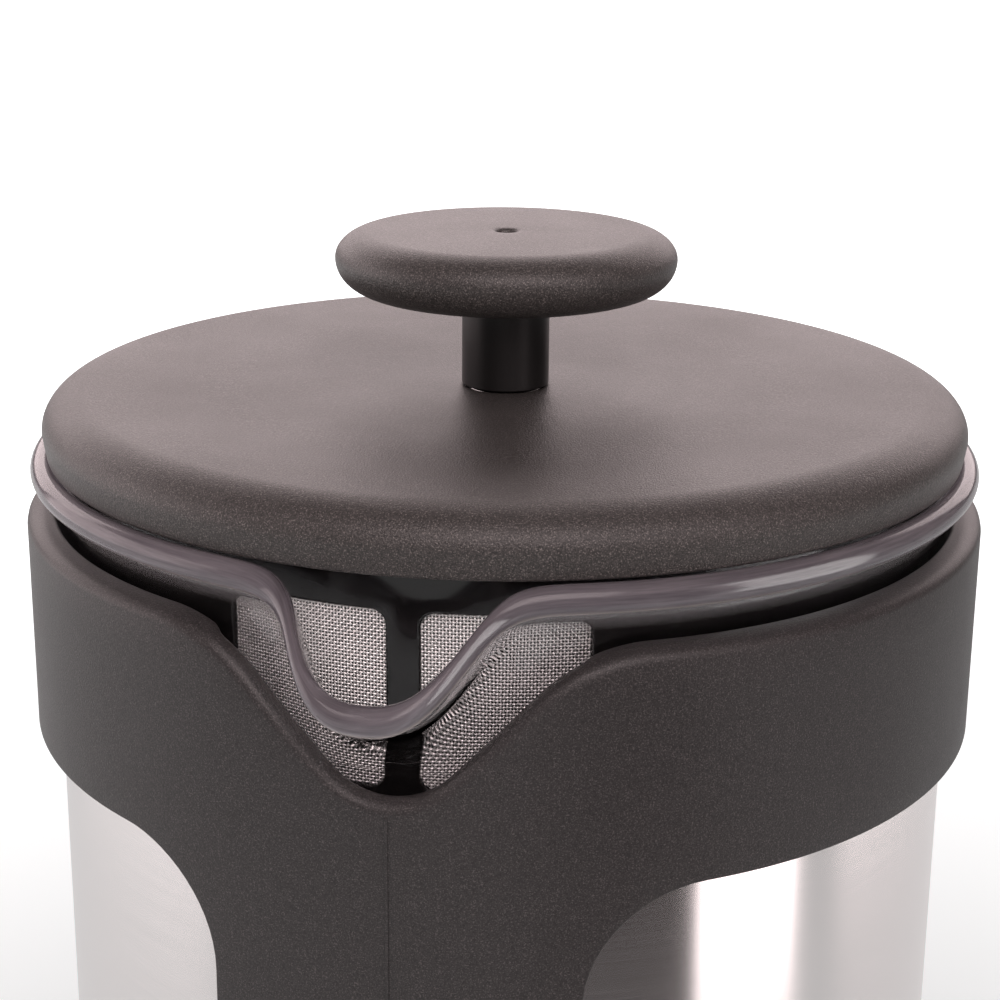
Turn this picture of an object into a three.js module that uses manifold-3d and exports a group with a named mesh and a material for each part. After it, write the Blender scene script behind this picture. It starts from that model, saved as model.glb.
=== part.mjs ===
// A one-litre French press: glass beaker, brushed steel sleeve, moulded frame with handle,
// lid with a strainer skirt, and a plunger with its knob, rod and filter pack.
// Millimetres, +Z up. The origin is the centre of the non-slip pad's underside on the beaker's axis.
// The spout points to -Y and the handle to +Y. The plunger is pressed down.

import * as THREE from "three";
import { mergeVertices } from "three/addons/utils/BufferGeometryUtils.js";
import Module from "manifold-3d";

const wasm = await Module();
wasm.setup();

// ---------------------------------------------------------------- driving dimensions

// Clearances
const SEAT_GAP = 0.1; // between faces that rest on each other
const FIT_GAP = 0.3; // around a piece that turns or is pushed into another
const SLIDE_GAP = 0.09; // around the rod in its guide

// Glass beaker
const GLASS_RADIUS = 49.5;
const GLASS_WALL = 1.8;
const GLASS_FLOOR = 3;
const GLASS_FOOT_ROUND = 9;
const GLASS_HEIGHT = 176.4; // underside to the centre of the rim bead
const BEAD_RADIUS = 1.45; // section of the rim bead
const BEAD_REACH = 1.5; // bead centre beyond the outer wall
const FLARE_HEIGHT = 5; // height over which the wall opens to the bead
const SPOUT_REACH = 9.2; // how far the spout's lip stands beyond the rim
const SPOUT_DIP = 8.6; // how far the lip drops below the rim
const SPOUT_HALF_WIDTH = 7.86; // from the middle to the flank, along the wall
const SPOUT_DEPTH = 18.2; // height of wall that the spout is drawn out of

// Steel sleeve
const SLEEVE_GAP = 0.46; // glass to sleeve
const SLEEVE_WALL = 0.5;
const SPOUT_RELIEF = 18; // the collar's thicker upper part stops this far each side of the spout
const SLEEVE_BELOW_NOTCH = 3.2; // the sleeve's top edge below the notch in the collar

// Frame
const FRAME_GAP = 0.34; // sleeve to frame
const FRAME_WALL = 2.26;
const FRAME_FLOOR = 3;
const COLLAR_HEIGHT = 24.1;
const COLLAR_BELOW_RIM = 4.7; // bead centre to the collar's top edge
const COLLAR_LIP_ROUND = 1.3;
const NOTCH_DEPTH = 15.1;
const NOTCH_BOTTOM_ROUND = 8.5;
const NOTCH_TOP_ROUND = 16;
const NOTCH_FLANK = Math.PI / 4; // slope of the notch's flanks
const ARM_WIDTH = 37.6; // along the curve of the wall
const WINDOW_CORNER = 12.2;
const BASE_RING_HEIGHT = 13.5; // from the frame's lower edge to the windows
const BASE_EDGE_ROUND = 2;
const PAD_PROUD = 0.8; // how far the pad stands below the frame
const PAD_THICKNESS = 2.4;
const PAD_RADIUS = 42;
const CUSHION_THICKNESS = 2;
const CUSHION_RADIUS = 38;

// Handle and its screws
const HANDLE_WIDTH = 22;
const HANDLE_THICKNESS = 12;
const HANDLE_ROUND = 5; // corners of the bar's section
const HANDLE_REACH = 44; // frame wall to the middle of the grip
const HANDLE_TOP_BELOW_RIM = 28; // bead centre to the upper fixing
const HANDLE_BOTTOM_HEIGHT = 42; // lower fixing above the frame's lower edge
const BOSS_DEPTH = 5;
const BOSS_HEIGHT = 15;
const SCREW_RADIUS = 1.75;
const SCREW_LENGTH = 17;
const SCREW_HEAD_RADIUS = 3.4;
const SCREW_HEAD_HEIGHT = 1.8;

// Lid
const LID_INSET = 1.45; // widest point of the cover inside the bead's outer edge
const LID_HEIGHT = 5.8;
const LID_WALL = 2.2;
const LID_EDGE_WIDTH = 5; // the rounded edge, measured inwards
const LID_EDGE_HEIGHT = 3.75; // the rounded edge, measured down
const LID_EDGE_RISE = 0.6; // the top is dished: its edge stands this much above its middle
const LID_UNDERCUT = 0.35; // how far the lower edge draws in
const SKIRT_GAP = 1.2; // glass to strainer skirt
const SKIRT_WALL = 1.6;
const SKIRT_BELOW_RIM = 24;
const SKIRT_PLATE = 1.6;
const SKIRT_PLATE_BELOW_RIM = 0; // underside of the plate against the bead centre
const WINDOW_BAR = 3.4; // bar between the two strainer windows
const WINDOW_WIDTH = 16.1;
const WINDOW_TOP_BELOW_RIM = 3.3;
const WINDOW_BOTTOM_BELOW_RIM = 21;
const WINDOW_ROUND = 1.5;
const MESH_THICKNESS = 0.5;
const BUSH_RADIUS = 4.2;
const BUSH_FLANGE_RADIUS = 7;
const BUSH_FLANGE_HEIGHT = 1.6;

// Plunger
const KNOB_RADIUS = 18.8;
const KNOB_EDGE = 4.1; // the knob's round edge, measured inwards
const KNOB_UPPER = 2.86; // widest point to the top
const KNOB_LOWER = 3.65; // widest point to the underside
const DIMPLE_RADIUS = 1.7;
const DIMPLE_DEPTH = 0.8;
const NECK_RADIUS = 4.85;
const NECK_LENGTH = 10.6; // lid to the knob's underside when pressed down
const NECK_EDGE_ROUND = 0.5;
const INSERT_RADIUS = 3.5;
const INSERT_LENGTH = 11;
const INSERT_IN_KNOB = 3;
const ROD_RADIUS = 2.4;
const ROD_END_GAP = 1; // above the rod in its insert

// Filter pack
const FLOOR_GAP = 1; // lock nut above the beaker's floor when pressed down
const NUT_HEIGHT = 4;
const NUT_RADIUS = 5; // across the corners
const CROSS_PLATE_THICKNESS = 0.8;
const CROSS_PLATE_RADIUS = 42.5;
const CROSS_HOLE_RADIUS = 6.5;
const CROSS_HOLE_CIRCLE = 26;
const FILTER_GAP = 0.7; // filter edge to glass
const SCREEN_THICKNESS = 0.4;
const SCREEN_RIM_HEIGHT = 4.6;
const COIL_SECTION = 1.5; // radius of the spring coil's turns
const SPREADER_THICKNESS = 0.7;
const SPREADER_HOLE_RADIUS = 4.2;
const SPREADER_HOLE_CIRCLE = 27;
const SPREADER_LIP_HEIGHT = 1.6;
const COLLAR_RADIUS = 4.6; // collar crimped on the rod above the pack
const COLLAR_LENGTH = 5;

// Facets
const RING_SEGMENTS = 48;
const SMALL_SEGMENTS = 24;

// ---------------------------------------------------------------- sizes that follow

const frameBottom = PAD_PROUD;
const floorUnderside = PAD_THICKNESS + SEAT_GAP;
const floorTop = floorUnderside + FRAME_FLOOR;
const cushionTop = floorTop + SEAT_GAP + CUSHION_THICKNESS;
const glassBottom = cushionTop + SEAT_GAP;
const glassFloorTop = glassBottom + GLASS_FLOOR;
const rimZ = glassBottom + GLASS_HEIGHT;

const glassInner = GLASS_RADIUS - GLASS_WALL;
const rimRadius = GLASS_RADIUS + BEAD_REACH;
const sleeveInner = GLASS_RADIUS + SLEEVE_GAP;
const sleeveOuter = sleeveInner + SLEEVE_WALL;
const frameInner = sleeveOuter + FRAME_GAP;
const frameOuter = frameInner + FRAME_WALL;

const collarTop = rimZ - COLLAR_BELOW_RIM;
const collarBottom = collarTop - COLLAR_HEIGHT;
const baseRingTop = frameBottom + BASE_RING_HEIGHT;
const sleeveTop = collarTop - NOTCH_DEPTH - SLEEVE_BELOW_NOTCH;
const collarInner = sleeveInner; // above the sleeve the collar is thicker, out to the same gap
const collarStep = sleeveTop + FIT_GAP;
const sleeveBottom = floorTop + SEAT_GAP;

const bossFace = frameOuter + BOSS_DEPTH;
const handleTopZ = rimZ - HANDLE_TOP_BELOW_RIM;
const handleBottomZ = frameBottom + HANDLE_BOTTOM_HEIGHT;

const lidRadius = rimRadius + BEAD_RADIUS - LID_INSET;
const lidBottom = rimZ + BEAD_RADIUS + SEAT_GAP;
const lidTop = lidBottom + LID_HEIGHT;
const lidUnderside = lidTop - LID_WALL;
const skirtOuter = glassInner - SKIRT_GAP;
const skirtInner = skirtOuter - SKIRT_WALL;
const skirtBottom = rimZ - SKIRT_BELOW_RIM;
const skirtTop = lidUnderside - SEAT_GAP;
const plateBottom = rimZ - SKIRT_PLATE_BELOW_RIM;
const windowMiddleZ = rimZ - (WINDOW_TOP_BELOW_RIM + WINDOW_BOTTOM_BELOW_RIM) / 2;
const windowHeight = WINDOW_BOTTOM_BELOW_RIM - WINDOW_TOP_BELOW_RIM;
const bushBore = ROD_RADIUS + SLIDE_GAP;
const lidHole = BUSH_RADIUS + FIT_GAP;

const neckBottom = lidTop + SEAT_GAP;
const knobBottom = neckBottom + NECK_LENGTH;
const knobWidestZ = knobBottom + KNOB_LOWER;
const knobTop = knobWidestZ + KNOB_UPPER;
const insertTop = knobBottom + INSERT_IN_KNOB;
const insertBottom = insertTop - INSERT_LENGTH;
const rodTop = insertTop - ROD_END_GAP;

const nutBottom = glassFloorTop + FLOOR_GAP;
const nutTop = nutBottom + NUT_HEIGHT;
const crossBottom = nutTop + SEAT_GAP;
const crossTop = crossBottom + CROSS_PLATE_THICKNESS;
const screenBottom = crossTop + SEAT_GAP;
const screenTop = screenBottom + SCREEN_THICKNESS;
const spreaderBottom = screenTop + SEAT_GAP;
const spreaderTop = spreaderBottom + SPREADER_THICKNESS;
const filterRadius = glassInner - FILTER_GAP;
const coilOuter = filterRadius - SCREEN_THICKNESS - FIT_GAP;
const coilMiddle = coilOuter - COIL_SECTION;
const spreaderRadius = coilMiddle - COIL_SECTION - FIT_GAP;
const coilZ = screenTop + FIT_GAP + COIL_SECTION;
const collarOnRodBottom = spreaderTop + SEAT_GAP;
const turnedBore = ROD_RADIUS + FIT_GAP;

// ---------------------------------------------------------------- solids from shapes

// A closed three.js geometry as a solid that can be joined and cut.
function solid(geometry) {
  const bare = geometry.clone();
  bare.deleteAttribute("normal");
  bare.deleteAttribute("uv");
  const merged = mergeVertices(bare, 1e-4);
  return new wasm.Manifold(
    new wasm.Mesh({
      numProp: 3,
      vertProperties: merged.attributes.position.array,
      triVerts: new Uint32Array(merged.index.array),
    }),
  );
}

// A solid back as a three.js geometry.
function geometryOf(body) {
  const mesh = body.getMesh();
  const geometry = new THREE.BufferGeometry();
  geometry.setAttribute("position", new THREE.BufferAttribute(mesh.vertProperties, 3));
  geometry.setIndex(new THREE.BufferAttribute(mesh.triVerts, 1));
  geometry.computeVertexNormals();
  return geometry;
}

// Turns an outline of [radius, height] points about the Z axis. The outline goes round
// anticlockwise, and closes on itself or starts and ends on the axis.
function turned(points, segments = RING_SEGMENTS) {
  const outline = points.map(([radius, height]) => new THREE.Vector2(Math.max(radius, 0), height));
  return new THREE.LatheGeometry(outline, segments).rotateX(Math.PI / 2);
}

// A closed ring with a rectangular section.
function ring(inner, outer, bottom, top, segments = RING_SEGMENTS) {
  return turned(
    [
      [inner, bottom],
      [outer, bottom],
      [outer, top],
      [inner, top],
      [inner, bottom],
    ],
    segments,
  );
}

// A disc or cylinder standing on the axis.
function disc(radius, bottom, top, segments = RING_SEGMENTS) {
  return turned(
    [
      [0, bottom],
      [radius, bottom],
      [radius, top],
      [0, top],
    ],
    segments,
  );
}

// Points of an elliptical arc in an outline, from one angle to another in degrees.
function arc(centreR, centreZ, halfWidth, halfHeight, from, to, steps) {
  return Array.from({ length: steps + 1 }, (_, i) => {
    const angle = THREE.MathUtils.degToRad(from + ((to - from) * i) / steps);
    return [centreR + halfWidth * Math.cos(angle), centreZ + halfHeight * Math.sin(angle)];
  });
}

// A flat outline of [along, up] points made into a slab and wrapped round the Z axis.
// "along" is measured on a circle of wrapRadius from the direction given by heading, which
// is 0 at the spout and half a turn at the handle.
function wrapped(points, innerRadius, outerRadius, wrapRadius, heading = 0) {
  const shape = new THREE.Shape(points.map(([along, up]) => new THREE.Vector2(along, up)));
  const slab = new THREE.ExtrudeGeometry(shape, {
    depth: outerRadius - innerRadius,
    bevelEnabled: false,
  });
  const position = slab.attributes.position;
  for (let i = 0; i < position.count; i++) {
    const angle = heading + position.getX(i) / wrapRadius;
    const radius = innerRadius + position.getZ(i);
    position.setXYZ(i, radius * Math.sin(angle), -radius * Math.cos(angle), position.getY(i));
  }
  return slab;
}

// A rectangle with rounded corners as [along, up] points.
function roundedRectangle(centreX, centreY, width, height, round, steps = 4) {
  const x = width / 2 - round;
  const y = height / 2 - round;
  return [
    ...arc(centreX + x, centreY - y, round, round, -90, 0, steps),
    ...arc(centreX + x, centreY + y, round, round, 0, 90, steps),
    ...arc(centreX - x, centreY + y, round, round, 90, 180, steps),
    ...arc(centreX - x, centreY - y, round, round, 180, 270, steps),
  ];
}

// A cylinder along Y, from the frame's inside outwards.
function crossPin(radius, fromY, toY, z, segments = SMALL_SEGMENTS) {
  const pin = new THREE.CylinderGeometry(radius, radius, toY - fromY, segments);
  return pin.translate(0, (fromY + toY) / 2, z);
}

// ---------------------------------------------------------------- beaker

// The share of the spout's full reach or dip at a point: one at the lip's middle, where the
// whole bead moves together.
function spoutShare(x, y, z, acrossPower, upPower) {
  const along = GLASS_RADIUS * Math.abs(Math.atan2(x, -y));
  const across = Math.exp(-((along / SPOUT_HALF_WIDTH) ** acrossPower));
  const drawn = SPOUT_DEPTH - BEAD_RADIUS;
  const up = THREE.MathUtils.clamp((z - rimZ + SPOUT_DEPTH) / drawn, 0, 1);
  return across * up ** upPower;
}

// Draws the rim out and down into the spout.
function drawSpout(geometry) {
  const position = geometry.attributes.position;
  for (let i = 0; i < position.count; i++) {
    const [x, y, z] = [position.getX(i), position.getY(i), position.getZ(i)];
    const radius = Math.hypot(x, y);
    const grown = 1 + (SPOUT_REACH * spoutShare(x, y, z, 3.5, 1.5)) / Math.max(radius, 1);
    position.setXYZ(i, x * grown, y * grown, z - SPOUT_DIP * spoutShare(x, y, z, 2.55, 1));
  }
  return geometry;
}

function glassBeaker() {
  const innerFoot = GLASS_FOOT_ROUND - GLASS_WALL;
  const flareZ = rimZ - FLARE_HEIGHT;
  const spoutRows = [1, 0.75, 0.5].map((share) => rimZ - SPOUT_DEPTH * share);
  const footR = GLASS_RADIUS - GLASS_FOOT_ROUND;
  return drawSpout(
    turned([
      [0, glassBottom],
      ...arc(footR, glassBottom + GLASS_FOOT_ROUND, GLASS_FOOT_ROUND, GLASS_FOOT_ROUND, -90, 0, 4),
      ...spoutRows.map((z) => [GLASS_RADIUS, z]),
      [GLASS_RADIUS, flareZ],
      ...arc(rimRadius, rimZ, BEAD_RADIUS, BEAD_RADIUS, -90, 180, 6),
      [glassInner, flareZ],
      ...spoutRows.reverse().map((z) => [glassInner, z]),
      ...arc(footR, glassFloorTop + innerFoot, innerFoot, innerFoot, 0, -90, 3),
      [0, glassFloorTop],
    ]),
  );
}

// ---------------------------------------------------------------- frame and what it holds

// The notch's outline above and below the collar's top edge, from left to right.
function notchOutline() {
  const [sin, cos] = [Math.sin(NOTCH_FLANK), Math.cos(NOTCH_FLANK)];
  const rounds = NOTCH_BOTTOM_ROUND + NOTCH_TOP_ROUND;
  const halfWidth = (NOTCH_DEPTH - rounds * (1 - cos)) / Math.tan(NOTCH_FLANK) + rounds * sin;
  const flank = THREE.MathUtils.radToDeg(NOTCH_FLANK);
  const bottomZ = collarTop - NOTCH_DEPTH + NOTCH_BOTTOM_ROUND;
  const topZ = collarTop - NOTCH_TOP_ROUND;
  const above = collarTop + 5;
  return [
    [-halfWidth, above],
    ...arc(-halfWidth, topZ, NOTCH_TOP_ROUND, NOTCH_TOP_ROUND, 90, 90 - flank, 5),
    ...arc(0, bottomZ, NOTCH_BOTTOM_ROUND, NOTCH_BOTTOM_ROUND, -90 - flank, -90 + flank, 8),
    ...arc(halfWidth, topZ, NOTCH_TOP_ROUND, NOTCH_TOP_ROUND, 90 + flank, 90, 5),
    [halfWidth, above],
  ];
}

// The wedge of space between the front and rear arms on one side, +1 or -1.
function windowWedge(side) {
  const halfArm = ARM_WIDTH / 2 / frameOuter;
  const reach = 2 * frameOuter;
  const outline = [new THREE.Vector2(0, 0)];
  for (let i = 0; i <= 8; i++) {
    const angle = halfArm + ((Math.PI - 2 * halfArm) * i) / 8;
    outline.push(new THREE.Vector2(side * reach * Math.sin(angle), -reach * Math.cos(angle)));
  }
  const wedge = new THREE.ExtrudeGeometry(new THREE.Shape(outline), {
    depth: collarBottom - baseRingTop,
    bevelEnabled: false,
  });
  return solid(wedge.translate(0, 0, baseRingTop));
}

// The material left in one rounded corner of a window.
function windowCorner(side, heading, upright) {
  const z = upright > 0 ? baseRingTop : collarBottom;
  const away = heading === 0 ? side : -side;
  const edge = (away * ARM_WIDTH) / 2;
  const beyond = 1; // into the arm and the ring, where there is nothing to take away
  const outline = [
    [edge + away * WINDOW_CORNER, z - upright * beyond],
    [edge - away * beyond, z - upright * beyond],
    [edge - away * beyond, z + upright * WINDOW_CORNER],
  ];
  for (let i = 0; i <= 6; i++) {
    const t = (Math.PI / 2) * (1 - i / 6);
    outline.push([
      edge + away * WINDOW_CORNER * (1 - Math.sin(t)),
      z + upright * WINDOW_CORNER * (1 - Math.cos(t)),
    ]);
  }
  return solid(wrapped(outline, frameInner - 8, frameOuter + 8, frameOuter, heading));
}

// The space that one window takes out of the frame's wall.
function frameWindow(side) {
  let space = windowWedge(side);
  for (const heading of [0, Math.PI])
    for (const upright of [1, -1]) space = space.subtract(windowCorner(side, heading, upright));
  return space;
}

// The block on the rear arm that one end of the handle is screwed to.
function handleBoss(z) {
  const shape = new THREE.Shape(
    roundedRectangle(0, z, HANDLE_WIDTH, BOSS_HEIGHT, 3).map(([x, y]) => new THREE.Vector2(x, -y)),
  );
  const depth = bossFace - frameInner + FRAME_WALL;
  const boss = new THREE.ExtrudeGeometry(shape, { depth, bevelEnabled: false });
  return solid(boss.rotateX(-Math.PI / 2).translate(0, bossFace - depth, 0));
}

// The hole for one handle screw, with room for its head inside the wall.
function screwHole(z) {
  const headY = frameInner + SEAT_GAP + SCREW_HEAD_HEIGHT + SEAT_GAP;
  const shank = solid(crossPin(SCREW_RADIUS + FIT_GAP, frameInner - 5, bossFace + 5, z));
  return shank.add(solid(crossPin(SCREW_HEAD_RADIUS + FIT_GAP, frameInner - 5, headY, z)));
}

// The room behind the notch for the foot of the glass spout.
function spoutRelief() {
  const whole = ring(collarInner - 5, frameInner, collarStep - 5, collarTop + 5);
  const front = new THREE.BoxGeometry(2 * SPOUT_RELIEF, frameInner, 2 * collarTop);
  return solid(whole).intersect(solid(front.translate(0, -frameInner / 2, collarTop)));
}

function frameWall() {
  const round = COLLAR_LIP_ROUND;
  return turned([
    [frameInner, floorTop],
    [0, floorTop],
    [0, floorUnderside],
    [PAD_RADIUS + FIT_GAP, floorUnderside],
    [PAD_RADIUS + FIT_GAP, frameBottom],
    ...arc(
      frameOuter - BASE_EDGE_ROUND,
      frameBottom + BASE_EDGE_ROUND,
      BASE_EDGE_ROUND,
      BASE_EDGE_ROUND,
      -90,
      0,
      3,
    ),
    ...arc(frameOuter - round, collarTop - round, round, round, 0, 90, 3),
    [collarInner, collarTop],
    [collarInner, collarStep],
    [frameInner, collarStep],
    [frameInner, floorTop],
  ]);
}

function frame() {
  const well = solid(disc(frameInner, floorTop, collarTop + 5));
  let body = solid(frameWall());
  for (const side of [1, -1]) body = body.subtract(frameWindow(side));
  const notch = wrapped(notchOutline(), frameInner - 10, frameOuter * 1.4, frameOuter);
  body = body.subtract(solid(notch)).subtract(spoutRelief());
  for (const z of [handleTopZ, handleBottomZ])
    body = body.add(handleBoss(z).subtract(well)).subtract(screwHole(z));
  return geometryOf(body);
}

function steelSleeve() {
  return ring(sleeveInner, sleeveOuter, sleeveBottom, sleeveTop);
}

function beakerCushion() {
  return disc(CUSHION_RADIUS, floorTop + SEAT_GAP, cushionTop);
}

function nonSlipPad() {
  return disc(PAD_RADIUS, 0, PAD_THICKNESS);
}

// The handle is a rounded bar bent into a loop between the two bosses.
function handleBar() {
  const start = bossFace + SEAT_GAP;
  const grip = frameOuter + HANDLE_REACH;
  const drop = handleTopZ - handleBottomZ;
  const route = new THREE.CatmullRomCurve3(
    [
      [start, 0],
      [start + 10, 0],
      [grip - 8, 0.05],
      [grip, 0.22],
      [grip - 0.5, 0.5],
      [grip - 3, 0.75],
      [grip - 13, 0.96],
      [start + 10, 1],
      [start, 1],
    ].map(([y, share]) => new THREE.Vector3(0, y, handleTopZ - share * drop)),
    false,
    "centripetal",
  );
  const section = new THREE.Shape(
    roundedRectangle(0, 0, HANDLE_WIDTH, HANDLE_THICKNESS, HANDLE_ROUND, 2).map(
      ([x, y]) => new THREE.Vector2(x, y),
    ),
  );
  return new THREE.ExtrudeGeometry(section, { steps: 30, extrudePath: route });
}

function handle() {
  const screwEnd = frameInner + SEAT_GAP + SCREW_HEAD_HEIGHT + SCREW_LENGTH + SEAT_GAP;
  let body = solid(handleBar());
  for (const z of [handleTopZ, handleBottomZ])
    body = body.subtract(solid(crossPin(SCREW_RADIUS + SEAT_GAP, bossFace - 5, screwEnd, z)));
  return geometryOf(body);
}

function handleScrew(z) {
  const headFace = frameInner + SEAT_GAP;
  const underHead = headFace + SCREW_HEAD_HEIGHT;
  const head = solid(crossPin(SCREW_HEAD_RADIUS, headFace, underHead, z));
  const shank = solid(crossPin(SCREW_RADIUS, underHead - 1, underHead + SCREW_LENGTH, z));
  const slot = new THREE.BoxGeometry(2 * SCREW_HEAD_RADIUS + 1, 1.4, 0.9).translate(0, headFace, z);
  return geometryOf(head.add(shank).subtract(solid(slot)));
}

// ---------------------------------------------------------------- lid

function lidCover() {
  const edgeTop = lidTop + LID_EDGE_RISE;
  const widestZ = edgeTop - LID_EDGE_HEIGHT;
  const flatRadius = lidRadius - LID_EDGE_WIDTH;
  const innerWidth = LID_EDGE_WIDTH - LID_WALL;
  const innerHeight = LID_EDGE_HEIGHT - LID_EDGE_RISE - LID_WALL;
  return turned([
    [lidHole, lidUnderside],
    ...arc(flatRadius, lidUnderside - innerHeight, innerWidth, innerHeight, 90, 0, 3),
    [lidRadius - LID_WALL, lidBottom],
    [lidRadius - LID_UNDERCUT, lidBottom],
    ...arc(flatRadius, widestZ, LID_EDGE_WIDTH, LID_EDGE_HEIGHT, 0, 90, 5),
    [lidHole, lidTop],
    [lidHole, lidUnderside],
  ]);
}

// The outline of one strainer window on the skirt, or of the mesh that fills it.
function strainerWindow(side, gap) {
  const middle = (side * (WINDOW_BAR + WINDOW_WIDTH)) / 2;
  const width = WINDOW_WIDTH - 2 * gap;
  const height = windowHeight - 2 * gap;
  return roundedRectangle(middle, windowMiddleZ, width, height, WINDOW_ROUND - gap);
}

function strainerSkirt() {
  const bossRadius = lidHole + 2.2;
  let body = solid(
    turned([
      [lidHole, plateBottom],
      [skirtInner, plateBottom],
      [skirtInner, skirtBottom],
      [skirtOuter, skirtBottom],
      [skirtOuter, skirtTop],
      [skirtInner, skirtTop],
      [skirtInner, plateBottom + SKIRT_PLATE],
      [bossRadius, plateBottom + SKIRT_PLATE],
      [bossRadius, skirtTop],
      [lidHole, skirtTop],
      [lidHole, plateBottom],
    ]),
  );
  for (const side of [1, -1]) {
    const opening = wrapped(strainerWindow(side, 0), skirtInner - 4, skirtOuter + 4, skirtOuter);
    body = body.subtract(solid(opening));
  }
  return geometryOf(body);
}

function strainerMesh(side) {
  const middle = (skirtInner + skirtOuter) / 2;
  const half = MESH_THICKNESS / 2;
  const sheet = solid(ring(middle - half, middle + half, skirtBottom, rimZ, 2 * RING_SEGMENTS));
  const outline = strainerWindow(side, SEAT_GAP);
  return geometryOf(
    sheet.intersect(solid(wrapped(outline, skirtInner - 4, skirtOuter + 4, skirtOuter))),
  );
}

function rodGuideBush() {
  const flangeTop = plateBottom - SEAT_GAP;
  return turned(
    [
      [bushBore, flangeTop - BUSH_FLANGE_HEIGHT],
      [BUSH_FLANGE_RADIUS, flangeTop - BUSH_FLANGE_HEIGHT],
      [BUSH_FLANGE_RADIUS, flangeTop],
      [BUSH_RADIUS, flangeTop],
      [BUSH_RADIUS, lidTop],
      [bushBore, lidTop],
      [bushBore, flangeTop - BUSH_FLANGE_HEIGHT],
    ],
    SMALL_SEGMENTS,
  );
}

// ---------------------------------------------------------------- plunger

function knob() {
  const edgeR = KNOB_RADIUS - KNOB_EDGE;
  const socketTop = insertTop + SEAT_GAP;
  return turned([
    [0, socketTop],
    [INSERT_RADIUS + SEAT_GAP, socketTop],
    [INSERT_RADIUS + SEAT_GAP, knobBottom],
    ...arc(edgeR, knobWidestZ, KNOB_EDGE, KNOB_LOWER, -90, 0, 4),
    ...arc(edgeR, knobWidestZ, KNOB_EDGE, KNOB_UPPER, 0, 90, 4).slice(1),
    [DIMPLE_RADIUS, knobTop],
    [DIMPLE_RADIUS * 0.6, knobTop - DIMPLE_DEPTH],
    [0, knobTop - DIMPLE_DEPTH],
  ]);
}

function knobNeck() {
  const top = knobBottom - SEAT_GAP;
  return turned(
    [
      [INSERT_RADIUS + SEAT_GAP, neckBottom],
      [NECK_RADIUS - NECK_EDGE_ROUND, neckBottom],
      [NECK_RADIUS, neckBottom + NECK_EDGE_ROUND],
      [NECK_RADIUS, top],
      [INSERT_RADIUS + SEAT_GAP, top],
      [INSERT_RADIUS + SEAT_GAP, neckBottom],
    ],
    SMALL_SEGMENTS,
  );
}

function knobInsert() {
  return ring(turnedBore, INSERT_RADIUS, insertBottom, insertTop, SMALL_SEGMENTS);
}

function plungerRod() {
  return disc(ROD_RADIUS, nutBottom, rodTop, SMALL_SEGMENTS);
}

function rodCollar() {
  const top = collarOnRodBottom + COLLAR_LENGTH;
  return turned(
    [
      [ROD_RADIUS + SEAT_GAP, collarOnRodBottom],
      [COLLAR_RADIUS, collarOnRodBottom],
      [COLLAR_RADIUS, top - 1],
      [COLLAR_RADIUS - 1, top],
      [ROD_RADIUS + SEAT_GAP, top],
      [ROD_RADIUS + SEAT_GAP, collarOnRodBottom],
    ],
    SMALL_SEGMENTS,
  );
}

// Cuts a ring of round holes through a flat plate.
function perforate(plate, count, circle, radius, z) {
  let body = plate;
  for (let i = 0; i < count; i++) {
    const angle = (2 * Math.PI * i) / count;
    const hole = new THREE.CylinderGeometry(radius, radius, 10, 12).rotateX(Math.PI / 2);
    hole.translate(circle * Math.sin(angle), -circle * Math.cos(angle), z);
    body = body.subtract(solid(hole));
  }
  return body;
}

function spreaderPlate() {
  const lipTop = spreaderTop + SPREADER_LIP_HEIGHT;
  const plate = solid(
    turned([
      [turnedBore, spreaderBottom],
      [spreaderRadius, spreaderBottom],
      [spreaderRadius, lipTop],
      [spreaderRadius - SPREADER_THICKNESS, lipTop],
      [spreaderRadius - SPREADER_THICKNESS, spreaderTop],
      [turnedBore, spreaderTop],
      [turnedBore, spreaderBottom],
    ]),
  );
  const pierced = perforate(plate, 6, SPREADER_HOLE_CIRCLE, SPREADER_HOLE_RADIUS, spreaderBottom);
  return geometryOf(pierced);
}

// The spring round the spreader, as the ring that its turns fill.
function springCoil() {
  return turned(arc(coilMiddle, coilZ, COIL_SECTION, COIL_SECTION, 0, 360, 6));
}

function filterScreen() {
  const rimTop = screenBottom + SCREEN_RIM_HEIGHT;
  return turned([
    [turnedBore, screenBottom],
    [filterRadius - 1, screenBottom],
    [filterRadius, screenBottom + 1],
    [filterRadius, rimTop],
    [filterRadius - SCREEN_THICKNESS, rimTop],
    [filterRadius - SCREEN_THICKNESS, screenTop + 1],
    [filterRadius - SCREEN_THICKNESS - 1, screenTop],
    [turnedBore, screenTop],
    [turnedBore, screenBottom],
  ]);
}

function crossPlate() {
  const plate = solid(ring(turnedBore, CROSS_PLATE_RADIUS, crossBottom, crossTop));
  return geometryOf(perforate(plate, 6, CROSS_HOLE_CIRCLE, CROSS_HOLE_RADIUS, crossBottom));
}

function lockNut() {
  const hexagon = solid(disc(NUT_RADIUS, nutBottom, nutTop, 6));
  return geometryOf(hexagon.subtract(solid(disc(turnedBore, nutBottom - 1, nutTop + 1, SMALL_SEGMENTS))));
}

// ---------------------------------------------------------------- assembly

function finish(color, roughness, metalness, opacity = 1) {
  const transparent = opacity < 1;
  return { color, roughness, metalness, opacity, transparent };
}

const texturedBlack = finish(0x2b2827, 0.55, 0);
const glossBlack = finish(0x141313, 0.15, 0);
const brushedSteel = finish(0xc4c2c0, 0.35, 1);
const polishedSteel = finish(0xd0d0d0, 0.15, 1);
const brass = finish(0xb08d4a, 0.3, 1);
const silicone = finish(0x3a3837, 0.7, 0);
const clearGlass = finish(0xdfe6ea, 0.02, 0, 0.3);

const press = new THREE.Group();

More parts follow.
